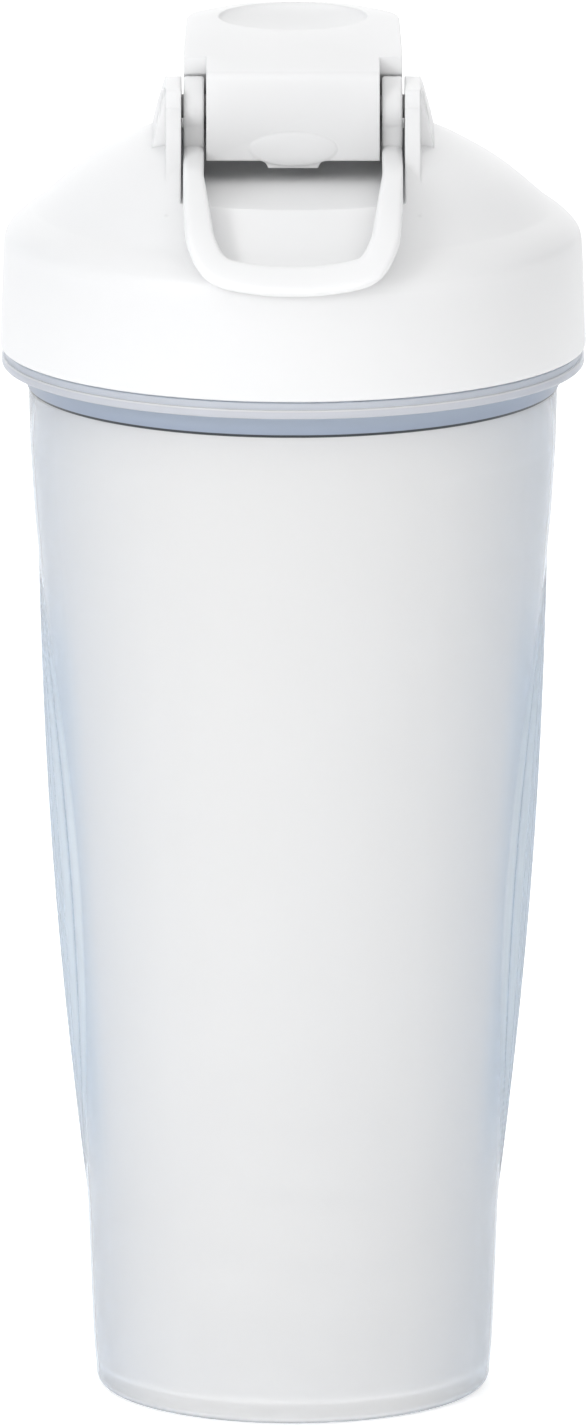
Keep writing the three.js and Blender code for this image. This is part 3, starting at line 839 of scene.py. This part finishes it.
def grown(
    name: str,
    graph: Graph,
    shape: Signal,
    sizes: dict[str, float],
    look: bpy.types.Material,
    close: tuple[int, int] | None = None,
) -> bpy.types.Object:
    """Ends a Geometry Nodes tree, runs it and returns its result as a plain mesh.

    Args:
        name: The piece's name.
        graph: The tree's graph.
        shape: The geometry that it makes.
        sizes: The values of its inputs.
        look: The material that it sets.
        close: Steps and sides of a strip whose long edges and ends are joined into a tube.

    Returns:
        The piece.
    """
    real = graph.node("GeometryNodeRealizeInstances", None, {"Geometry": shape})
    dressed = graph.node("GeometryNodeSetMaterial", None, {"Geometry": real, "Material": look})
    graph.add("NodeGroupOutput", None, {0: dressed})
    holder = bpy.data.objects.new(name, bpy.data.meshes.new(name))
    bpy.context.scene.collection.objects.link(holder)
    change = holder.modifiers.new("nodes", "NODES")
    change.node_group = graph.tree
    for item in graph.tree.interface.items_tree:
        if item.in_out == "INPUT":
            change[item.identifier] = float(sizes[item.name])
    baked(holder)
    if close:
        steps, sides = close
        work = bmesh.new()
        work.from_mesh(holder.data)
        work.verts.ensure_lookup_table()
        for i in range(steps):
            a, b = i * sides, (i + 1) * sides
            work.faces.new([work.verts[k] for k in (a, b, b + sides - 1, a + sides - 1)])
        for start in (0, steps * sides):
            work.faces.new([work.verts[start + k] for k in range(sides)])
        bmesh.ops.recalc_face_normals(work, faces=work.faces)
        work.to_mesh(holder.data)
        work.free()
    return holder


# ---- Lid -------------------------------------------------------------------------------------


@dataclass
class Hinge:
    """The hinge line that the lid, the cap and the loop share."""

    y: float = -5.7
    above: float = 41.7
    barrel: float = 6.3
    sweep: float = 11.7
    inner: float = 18.7
    thick: float = 2.6
    top: float = 45.6
    back: float = 5.0
    foot: float = -32.0
    sunk: float = 6.0
    flare: float = 6.2
    inset: float = 1.2
    eye: float = 5.0
    gap: float = 0.4
    pin: float = 2.0
    head: float = 2.8
    seat: float = 20.6
    low: float = field(default_factory=lambda: low_mm("lid").z)

    @property
    def height(self) -> float:
        """Height of the hinge line."""
        return self.low + self.above

    @property
    def front(self) -> float:
        """Y of the cap's front face."""
        return self.y - self.barrel

    @property
    def centre(self) -> Point:
        """The hinge line's Y and Z."""
        return (self.y, self.height)


@dataclass
class Lid:
    """The screw lid: skirt, dome, hinge walls and spout."""

    maker: Maker
    hinge: Hinge
    skirt: Point = (49.2, 0.0)
    skirt_top: Point = (48.5, 17.9)
    crease: Point = (43.5, 23.6)
    dome: Point = (36.1, 29.9)
    deck: Point = (28.7, 34.4)
    deck_height: float = 36.0
    wall: float = 2.0
    platform: float = 30.0
    bore: float = 46.45
    lip: float = 41.0
    seat: float = 16.05
    spout_radius: float = 8.8
    spout_wall: float = 1.6
    spout_height: float = 43.5

    def outline(self, inset: float) -> Outline:
        """The skirt, shoulder, dome and deck from the outside inwards, drawn in by an inset."""
        r, h = self.skirt_top
        shoulder = through([(r, h), (r - 0.6, h + 1.9), (r - 2.6, h + 4), self.crease], 7)
        dome = through(
            [
                self.crease,
                self.dome,
                self.deck,
                (self.deck[0] - 3.6, self.deck_height - 0.2),
                (self.deck[0] - 6, self.deck_height),
            ],
            7,
        )
        low = self.hinge.low - inset
        return [(x - inset, low + y) for x, y in [*shoulder, *dome[1:]]]

    def channel(self, margin: float) -> bpy.types.Object:
        """The room that the cap and the loop turn in, grown by a margin."""
        hinge = self.hinge
        half = hinge.inner + margin
        floor = hinge.low + self.platform - margin
        reach = hinge.sweep + margin
        front = [(hinge.y, hinge.height + 60), (-70, hinge.height + 60), (-70, floor), (hinge.y, floor)]
        back = arc(hinge.centre, reach, -90, 90, 48)
        return prism("channel", [*front, *back[1:]], "X", -half, half)

    def hinge_wall(self) -> bpy.types.Object:
        """One hinge wall: a fin down the dome, and the flared buttress behind its front edge."""
        hinge = self.hinge
        top, low = hinge.low + hinge.top, hinge.low + self.crease[1] - hinge.sunk
        deck = hinge.low + self.deck_height
        front = hinge.front
        fin = [(hinge.foot, low), (hinge.foot, hinge.low + self.dome[1] - 1.6)]
        fin += bezier(fin[-1], (-17, deck - 0.5), (front, top - 3), 14)
        fin += bezier((front, top - 1.2), (front, top), (front + 1.2, top), 5)
        fin += bezier((hinge.back - 5.5, top), (hinge.back - 0.5, top), (hinge.back + 2.5, top - 4), 8)
        fin += [(hinge.back + 9, deck - 1), (hinge.back + 9, low)]
        outer = hinge.inner + hinge.thick
        section = [(hinge.inner, low), (outer + hinge.flare, low)]
        section += bezier(section[-1], (outer + 2.4, deck), (outer, top), 12)
        section += [(hinge.inner, top)]
        plate = prism("wall", fin, "X", hinge.inner, outer)
        flare = prism("flare", section, "Y", front + hinge.inset, hinge.back + 6)
        behind = combined(prism("behind", fin, "X", hinge.inner, outer + 8), "INTERSECT", flare)
        return combined(plate, "UNION", behind)

    def hollow(self) -> bpy.types.Object:
        """The lid's inside, clear of the channel's walls."""
        low = self.hinge.low
        inner = [p for p in self.outline(self.wall) if p[0] < self.lip]
        seat = low + self.seat
        outline = [(0, low - 1), (self.bore, low - 1), (self.bore, seat), (self.lip, seat)]
        outline += [(self.lip, inner[0][1] - 1), *inner, (0, inner[-1][1])]
        return combined(revolved("hollow", outline), "DIFFERENCE", self.channel(self.wall))

    def build(self) -> None:
        """Makes the lid and its thread."""
        hinge = self.hinge
        low = hinge.low
        edge = arc((self.skirt[0] - 0.5, low + 0.5), 0.5, -90, 0, 5)
        lid = revolved("lid_moulding", [(0, low), *edge, *self.outline(0), (0, low + self.deck_height)])
        combined(lid, "DIFFERENCE", self.channel(0))
        wall = self.hinge_wall()
        combined(lid, "UNION", wall, mirrored(wall, "other_wall"))
        top = low + self.spout_height
        bore = self.spout_radius - self.spout_wall
        lip = arc((self.spout_radius - 0.6, top - 0.6), 0.6, 0, 90, 4)
        lip += arc((bore + 0.6, top - 0.6), 0.6, 90, 180, 4)
        root = low + self.deck_height - 2
        tube = [(self.spout_radius + 0.3, root), *lip, (bore, root)]
        spout = revolved("spout", tube, 96)
        bored = revolved("bore", drum(bore, low + self.platform - 6, top + 5), 96)
        for item in (spout, bored):
            item.data.transform(Matrix.Translation((0, SPOUT_Y * MM, 0)))
        combined(lid, "DIFFERENCE", bored)
        combined(lid, "UNION", spout)
        combined(lid, "DIFFERENCE", self.hollow())
        reach = hinge.inner + 20
        holes = [rod("hole", hinge.centre, drum(hinge.pin + PLAY, -reach, reach))]
        for side in (-1, 1):
            span = sorted((side * hinge.seat, side * reach))
            holes.append(rod("recess", hinge.centre, drum(hinge.head + PLAY, *span)))
        combined(lid, "DIFFERENCE", *holes)
        self.maker.place(lid, Body.LID, Slot.WHITE, "lid", 34)
        thread = helix("lid_thread", Helix(self.bore, -1.5, low + 3.55, 1.05, -0.4), self.maker)
        self.maker.place(thread, Body.LID, Slot.WHITE, sharp=60)


@dataclass
class SmallParts:
    """The pins, the seal and the stopper."""

    maker: Maker
    hinge: Hinge
    seal_inner: float = 42.2
    seal_outer: float = 45.0
    seal_thick: float = 1.5

    def pins(self) -> None:
        """Two pins with low domed heads."""
        hinge = self.hinge
        start = high_mm("hinge_pin_right").x
        inside = low_mm("hinge_pin_right").x
        seat = hinge.seat + PLAY
        dome = bezier((hinge.head, start - 0.45), (hinge.head - 0.1, start), (hinge.head - 0.7, start), 5)
        outline = [(0, inside), (hinge.pin - 0.3, inside), (hinge.pin, inside + 0.3), (hinge.pin, seat)]
        outline += [(hinge.head, seat), (hinge.head, start - 0.45), *dome, (0, start)]
        right = rod("pin_right", hinge.centre, outline)
        left = mirrored(right, "pin_left")
        self.maker.place(right, Body.LID, Slot.WHITE, "hinge_pin_right")
        self.maker.place(left, Body.LID, Slot.WHITE, "hinge_pin_left")

    def seal(self) -> None:
        """The soft ring between the cup's rim and the lid."""
        low = low_mm("lid_seal").z
        half = self.seal_thick / 2
        outline = arc((self.seal_outer - half, low + half), half, -90, 90, 10)
        outline += arc((self.seal_inner + half, low + half), half, 90, 270, 10)
        ring = revolved("seal_ring", outline)
        self.maker.place(ring, Body.SEAL, Slot.RUBBER, "lid_seal", 60)

    def plug(self) -> None:
        """The stopper under the cap, with a tapered nose and a sealing flange."""
        low, high = low_mm("spout_plug").z, high_mm("spout_plug").z
        wide = (high_mm("spout_plug").x - low_mm("spout_plug").x) / 2
        mouth = low + 3.6
        nose = [(0, low), (5.0, low), *bezier((5.0, low), (5.6, low), (6.3, low + 0.8), 4)]
        rim = [(6.95, mouth - 0.4), (6.95, mouth), (wide - 0.2, mouth)]
        rim += arc((wide - 0.5, mouth + 0.6), 0.5, -50, 70, 6)
        outline = [*nose, *rim, (6.2, mouth + 1.6), (6.2, high), (0, high)]
        stopper = revolved("stopper", outline, 96)
        stopper.data.transform(Matrix.Translation((0, SPOUT_Y * MM, 0)))
        self.maker.place(stopper, Body.CAP, Slot.RUBBER, "spout_plug")


# ---- Flip cap --------------------------------------------------------------------------------


@dataclass
class FlipCap:
    """The flip cap: hinge block, head, thumb dimple and the hollow round the spout."""

    maker: Maker
    hinge: Hinge
    tip: float = 27.0
    slope: float = 7.2
    front_top: float = 48.5
    panel_half: float = 14.5
    underside: float = 38.0
    panel_low: float = 33.6
    tongue_low: float = 32.3
    tongue_half: float = 4.2
    wall: float = 2.1
    ceiling: float = 47.8
    tip_arc: float = 25.0
    dimple: tuple[float, float, float] = (12.5, 7.4, 2.0)
    swelling: tuple[float, float, float] = (7.4, 0.5, 2.9)
    over_eye: float = 2.5
    eye_room: float = 6.8

    @property
    def rise(self) -> float:
        """How much the top rises for each millimetre towards the tip."""
        return math.tan(math.radians(self.slope))

    def profile(self) -> Outline:
        """The cap from the side."""
        hinge = self.hinge
        front, face = hinge.low + self.front_top, hinge.front
        tip, end = self.tip, hinge.low + self.front_top + (self.tip - hinge.front) * self.rise
        made = [(face, hinge.low + self.panel_low), (face, front - 1.4)]
        made += bezier(made[-1], (face, front), (face + 1.4, front + 1.4 * self.rise), 6)
        made += [(tip - 0.8, end - 0.8 * self.rise)]
        made += bezier(made[-1], (tip, end), (tip, front + 3.6), 6)
        made += [(tip - 0.5, hinge.low + self.underside), (hinge.y + 9, hinge.low + self.underside)]
        return [*made, (hinge.y + 2.8, hinge.low + self.panel_low)]

    def plan(self, inset: float) -> Outline:
        """The cap from above, drawn in by an inset."""
        half = self.hinge.inner - self.hinge.gap - inset
        tip = self.tip - inset
        centre = tip - self.tip_arc
        side = half - 3
        y = centre + math.sqrt(self.tip_arc**2 - side**2)
        start = math.degrees(math.atan2(y - centre, side))
        right = [(half, self.hinge.front - 2), (half, 0), (half - 0.4, y - 5)]
        right += bezier(right[-1], (half - 0.5, y - 1.4), (side, y), 8)
        left = [(-x, v) for x, v in reversed(right)]
        return [*right, *arc((0, centre), self.tip_arc, start, 180 - start, 28)[1:-1], *left]

    def dimple_tool(self) -> bpy.types.Object:
        """The flattened ball that presses the thumb dimple into the top."""
        wide, long, deep = self.dimple
        ball = revolved("dimple", arc((0, 0), 1, -90, 90, 24), 72)
        y = self.tip - long - 1
        z = self.hinge.low + self.front_top + (y - self.hinge.front) * self.rise
        tilt = Matrix.Rotation(math.radians(self.slope), 4, "X")
        size = Matrix.Diagonal((wide, long, deep, 1.0))
        ball.data.transform(Matrix.Translation((0, y * MM, z * MM)) @ tilt @ size)
        return ball

    def tongue(self) -> bpy.types.Object:
        """The small stop under the front panel."""
        low, panel = self.hinge.low + self.tongue_low, self.hinge.low + self.panel_low + 1.5
        half = self.tongue_half
        right = bezier((half + 3, panel), (half, low + 1), (half, low), 6)
        right = [(half + 3, panel), *right]
        left = [(-x, z) for x, z in reversed(right)]
        return prism("tongue", [*right, *left], "Y", self.hinge.front + 0.4, self.hinge.front + 3.4)

    def bulge(self) -> bpy.types.Object:
        """The low lens-shaped swelling over the tongue."""
        ball = revolved("bulge", arc((0, 0), 1, -90, 90, 20), 64)
        size = Matrix.Diagonal((*self.swelling, 1.0))
        height = self.hinge.low + self.panel_low + 2.0
        ball.data.transform(Matrix.Translation((0, self.hinge.front * MM, height * MM)) @ size)
        return ball

    def build(self) -> None:
        """Makes the cap."""
        hinge = self.hinge
        half = hinge.inner - hinge.gap
        low, high = hinge.low + self.tongue_low, hinge.low + self.front_top + 8
        cap = prism("cap_moulding", self.profile(), "X", -half, half)
        combined(cap, "INTERSECT", prism("plan", self.plan(0), "Z", low, high))
        room = hinge.eye + hinge.gap + 0.2
        sides = []
        for side in (-1, 1):
            span = sorted((side * self.panel_half, side * (half + 2)))
            for reach, top in ((self.over_eye, high), (self.eye_room, hinge.height)):
                front, back = hinge.front - 3, hinge.y + reach
                corner = [(front, low - 1), (back, low - 1), (back, top), (front, top)]
                sides.append(prism("eye_room", corner, "X", *span))
            sides.append(rod("eye_round", hinge.centre, drum(room, *span), 96))
        combined(cap, "DIFFERENCE", *sides)
        combined(cap, "UNION", self.tongue())
        rounded(cap, 0.55, 40)
        combined(cap, "UNION", self.bulge())
        floor, ceiling = hinge.low + self.underside - 1, hinge.low + self.ceiling
        hollow = prism("hollow", self.plan(self.wall), "Z", floor, ceiling)
        keep = [(hinge.y + 9.2, low), (self.tip, low), (self.tip, high), (hinge.y + 9.2, high)]
        combined(hollow, "INTERSECT", prism("keep", keep, "X", -half, half))
        rounded(hollow, 0.8, 40)
        tools = [hollow, self.dimple_tool()]
        for side in (-1, 1):
            span = sorted((side * (self.panel_half - 8.6), side * (self.panel_half + 1)))
            tools.append(rod("pin_hole", hinge.centre, drum(hinge.pin + PLAY, *span)))
        combined(cap, "DIFFERENCE", *tools)
        self.maker.place(cap, Body.CAP, Slot.WHITE, "flip_cap", 30)


# ---- Carry loop ------------------------------------------------------------------------------


@dataclass
class CarryLoop:
    """The U-shaped carry loop with an eye at each end."""

    maker: Maker
    hinge: Hinge
    arm: Point = (3.4, 4.0)
    bar: Point = (4.8, 3.0)
    arm_top: float = 35.7
    bend_start: float = -28.0
    bend_radius: float = 23.6
    bar_y: float = -49.3
    bar_slope: float = 58.0
    fillet: float = 0.9
    web_front: float = 4.2

    def bend(self, y: float) -> float:
        """How far the loop has bent down at a place along Y, in radians."""
        share = min(1.0, max(0.0, self.bend_start - y) / self.bend_radius)
        return min(math.radians(self.bar_slope), math.asin(share))

    def height(self, y: float) -> float:
        """Height of the middle line at a place along Y."""
        bend = self.bend(y)
        flat = self.hinge.low + self.arm_top - self.arm[1] / 2
        past = max(0.0, self.bend_start - y - self.bend_radius * math.sin(bend))
        return flat - self.bend_radius * (1 - math.cos(bend)) - past * math.tan(bend)

    def path(self) -> list[Vector]:
        """The middle line from one eye round to the other."""
        side = self.hinge.inner - self.hinge.gap - self.arm[0] / 2
        half = [
            (side, self.hinge.y + 2),
            (side, self.hinge.front),
            (side, self.bend_start),
            (side - 0.3, self.bend_start - 8),
            (side - 0.8, self.bar_y + 7.4),
            (side - 1.5, self.bar_y + 3.8),
            (side - 4.1, self.bar_y + 1.1),
            (side * 0.37, self.bar_y + 0.2),
        ]
        plan = [*half, (0, self.bar_y), *[(-x, y) for x, y in reversed(half)]]
        return [Vector((x, y, self.height(y))) for x, y in through(plan, 10)]

    def section(self, wide: float, thick: float) -> Outline:
        """A rectangle with rounded corners about the middle line."""
        x, y, r = wide / 2 - self.fillet, thick / 2 - self.fillet, self.fillet
        corners = [((x, y), 0), ((-x, y), 90), ((-x, -y), 180), ((x, -y), 270)]
        return [p for centre, turn in corners for p in arc(centre, r, turn, turn + 90, 4)]

    def strap(self) -> bpy.types.Object:
        """The swept strap, wider and thinner along the bar."""
        line = self.path()
        rings = []
        for i, point in enumerate(line):
            before, after = line[max(0, i - 1)], line[min(len(line) - 1, i + 1)]
            along = (after - before).normalized()
            bend = self.bend(point.y)
            share = ramp(-self.bend_start, -self.bar_y - 2, -point.y)
            wide = self.arm[0] + (self.bar[0] - self.arm[0]) * share
            thick = self.arm[1] + (self.bar[1] - self.arm[1]) * share
            up = Vector((0, -math.sin(bend), math.cos(bend)))
            up = (up - along * up.dot(along)).normalized()
            across = along.cross(up)
            rings.append([point + across * x + up * y for x, y in self.section(wide, thick)])
        return swept("loop_moulding", rings)

    def eye_piece(self) -> bpy.types.Object:
        """The right eye and the web that joins it to its arm."""
        hinge = self.hinge
        outer = hinge.inner - hinge.gap
        inner = outer - self.arm[0]
        r = 0.5
        disc = [(0, inner), *arc((hinge.eye - r, inner + r), r, -90, 0, 4)]
        disc += [*arc((hinge.eye - r, outer - r), r, 0, 90, 4), (0, outer)]
        ring = rod("eye", hinge.centre, disc, 96)
        low = hinge.low + self.arm_top - self.arm[1]
        web = [(hinge.y + 2, low + 0.6), (hinge.y + hinge.eye, hinge.height)]
        web += [(hinge.y - self.web_front, hinge.height), (hinge.y - self.web_front, low + 0.6)]
        plate = rounded(prism("web", web, "X", inner, outer), r, 40)
        return combined(ring, "UNION", plate)

    def build(self) -> None:
        """Makes the loop."""
        hinge = self.hinge
        loop = self.strap()
        eye = self.eye_piece()
        combined(loop, "UNION", eye, mirrored(eye, "other_eye"))
        reach = hinge.inner + 1
        combined(loop, "DIFFERENCE", rod("hole", hinge.centre, drum(hinge.pin + PLAY, -reach, reach)))
        self.maker.place(loop, Body.LOOP, Slot.WHITE, "carry_loop", 34)


# ---- Whisk ball ------------------------------------------------------------------------------


@dataclass
class WhiskBall:
    """The loose mixing ball, one steel wire wound into a sphere."""

    maker: Maker
    turns: float = 5.0
    wire: float = 2.2
    pole: float = 0.16

    def build(self) -> None:
        """Makes the ball by Geometry Nodes."""
        low, high = low_mm("whisk_ball"), high_mm("whisk_ball")
        sizes = {
            "Radius": ((high - low).z - self.wire * 0.9) / 2 * MM,
            "Centre": (high + low).z / 2 * MM,
            "Turns": self.turns,
            "Wire": self.wire / 2 * MM,
            "Pole": self.pole * math.pi,
        }
        tree = bpy.data.node_groups.new("whisk_nodes", "GeometryNodeTree")
        graph = Graph(tree)
        given = grouped(graph, sizes)
        steps = 420
        line = graph.node("GeometryNodeMeshLine", None, {"Count": steps + 1})
        share = graph.node("GeometryNodeInputIndex") / steps
        polar = given["Pole"] + (math.pi - given["Pole"] * 2.0) * share
        angle = given["Turns"] * share * (2 * math.pi)
        spread = given["Radius"] * polar.wave()
        rise = given["Radius"] * polar.cosine() / given["Pole"].cosine()
        place = {"X": spread * angle.cosine(), "Y": spread * angle.wave(), "Z": given["Centre"] + rise}
        spot = graph.node("ShaderNodeCombineXYZ", None, place)
        moved = graph.node("GeometryNodeSetPosition", None, {"Geometry": line, "Position": spot})
        curve = graph.node("GeometryNodeMeshToCurve", None, {"Mesh": moved})
        ring = {"Resolution": 14, "Radius": given["Wire"]}
        profile = graph.node("GeometryNodeCurvePrimitiveCircle", None, ring)
        tube = graph.node(
            "GeometryNodeCurveToMesh", None, {"Curve": curve, "Profile Curve": profile, "Fill Caps": True}
        )
        ball = grown("whisk_wire", graph, tube, sizes, self.maker.looks[Slot.STEEL])
        self.maker.place(ball, Body.WHISK, Slot.STEEL, "whisk_ball", 60)


# ---- Studio ----------------------------------------------------------------------------------


@dataclass
class Studio:
    """Pale floor, soft light and a long-lens camera."""

    distance: float = 4.4
    elevation: float = 12.4
    aim: float = 0.1154
    view_height: float = 0.2402
    floor_radius: float = 9.0
    table_glow: float = 0.34
    wall: Sequence[float] = (1.08, 1.08, 1.08, 1.0)
    back_wall: Sequence[float] = (1.7, 1.7, 1.7, 1.0)
    left_wall: Sequence[float] = (0.27, 0.30, 0.35, 1.0)
    right_wall: Sequence[float] = (0.31, 0.32, 0.34, 1.0)
    ceiling: Sequence[float] = (1.05, 1.05, 1.05, 1.0)
    key_place: Sequence[float] = (-1.5, -1.9, 1.2)
    key_size: float = 0.7
    key_power: float = 17.0

    def camera(self) -> None:
        """A camera in front of the bottle, a little above it."""
        data = bpy.data.cameras.new("camera")
        data.sensor_width = 36.0
        data.lens = data.sensor_width * self.distance / self.view_height
        data.clip_end = 40.0
        made = bpy.data.objects.new("camera", data)
        tilt = math.radians(self.elevation)
        back = Vector((0, -math.cos(tilt), math.sin(tilt)))
        made.location = Vector((0, 0, self.aim)) + back * self.distance
        made.rotation_euler = (math.radians(90) - tilt, 0, 0)
        bpy.context.scene.collection.objects.link(made)
        bpy.context.scene.camera = made

    def floor(self) -> None:
        """A wide white table that glows a little."""
        disc = revolved("floor", drum(self.floor_radius / MM, -20, 0), 64)
        surface = Surface("light_table")
        tone = surface.blend(surface.noise(3.0), (0.88, 0.88, 0.88), (0.9, 0.9, 0.9))
        sockets = {
            "Base Color": tone,
            "Roughness": 0.8,
            "Emission Color": (1.0, 1.0, 1.0, 1.0),
            "Emission Strength": self.table_glow,
        }
        disc.data.materials.append(surface.close(surface.node("ShaderNodeBsdfPrincipled", None, sockets)))

    def sky(self) -> None:
        """White walls before and behind, and darker ones at the sides."""
        world = bpy.data.worlds.new("studio")
        world.use_nodes = True
        graph = Graph(world.node_tree)
        way = graph.node("ShaderNodeTexCoord", output="Generated")
        across, along, up = (
            graph.node("ShaderNodeSeparateXYZ", None, {"Vector": way}, k) for k in range(3)
        )
        right = graph.smooth(across, 0.25, 0.8)
        left = graph.smooth(0 - across, 0.3, 0.8)
        high = graph.smooth(up, 0.3, 0.9)
        behind = graph.smooth(along, 0.1, 0.7)
        mix = {"data_type": "RGBA"}
        ends = graph.node("ShaderNodeMix", mix, {0: behind, 6: self.wall, 7: self.back_wall}, 2)
        sides = graph.node("ShaderNodeMix", mix, {0: left, 6: ends, 7: self.left_wall}, 2)
        sides = graph.node("ShaderNodeMix", mix, {0: right, 6: sides, 7: self.right_wall}, 2)
        whole = graph.node("ShaderNodeMix", mix, {0: high, 6: sides, 7: self.ceiling}, 2)
        light = graph.node("ShaderNodeBackground", None, {"Color": whole, "Strength": 1.0})
        graph.add("ShaderNodeOutputWorld", None, {"Surface": light})
        bpy.context.scene.world = world

    def lamp(self, name: str, place: Sequence[float], size: float, power: float) -> None:
        """A square soft box aimed at the bottle."""
        data = bpy.data.lights.new(name, "AREA")
        data.size = size
        data.energy = power
        made = bpy.data.objects.new(name, data)
        made.location = place
        aim = Vector((0, 0, self.aim)) - Vector(place)
        made.rotation_euler = aim.to_track_quat("-Z", "Y").to_euler()
        bpy.context.scene.collection.objects.link(made)

    def build(self) -> None:
        """Makes the camera, the floor and the lights."""
        self.camera()
        self.floor()
        self.sky()
        self.lamp("key", self.key_place, self.key_size, self.key_power)
        bpy.context.scene.view_settings.view_transform = "Standard"


def main() -> None:
    """Builds the bottle and the studio."""
    logging.basicConfig(level=logging.INFO, format="%(name)s %(message)s")
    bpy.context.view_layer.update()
    Studio().build()
    maker = Maker()
    hinge = Hinge()
    parts = SmallParts(maker, hinge)
    Cup(maker).build()
    Lid(maker, hinge).build()
    parts.pins()
    parts.seal()
    parts.plug()
    FlipCap(maker, hinge).build()
    CarryLoop(maker, hinge).build()
    WhiskBall(maker).build()


if __name__ == "__main__":
    main()
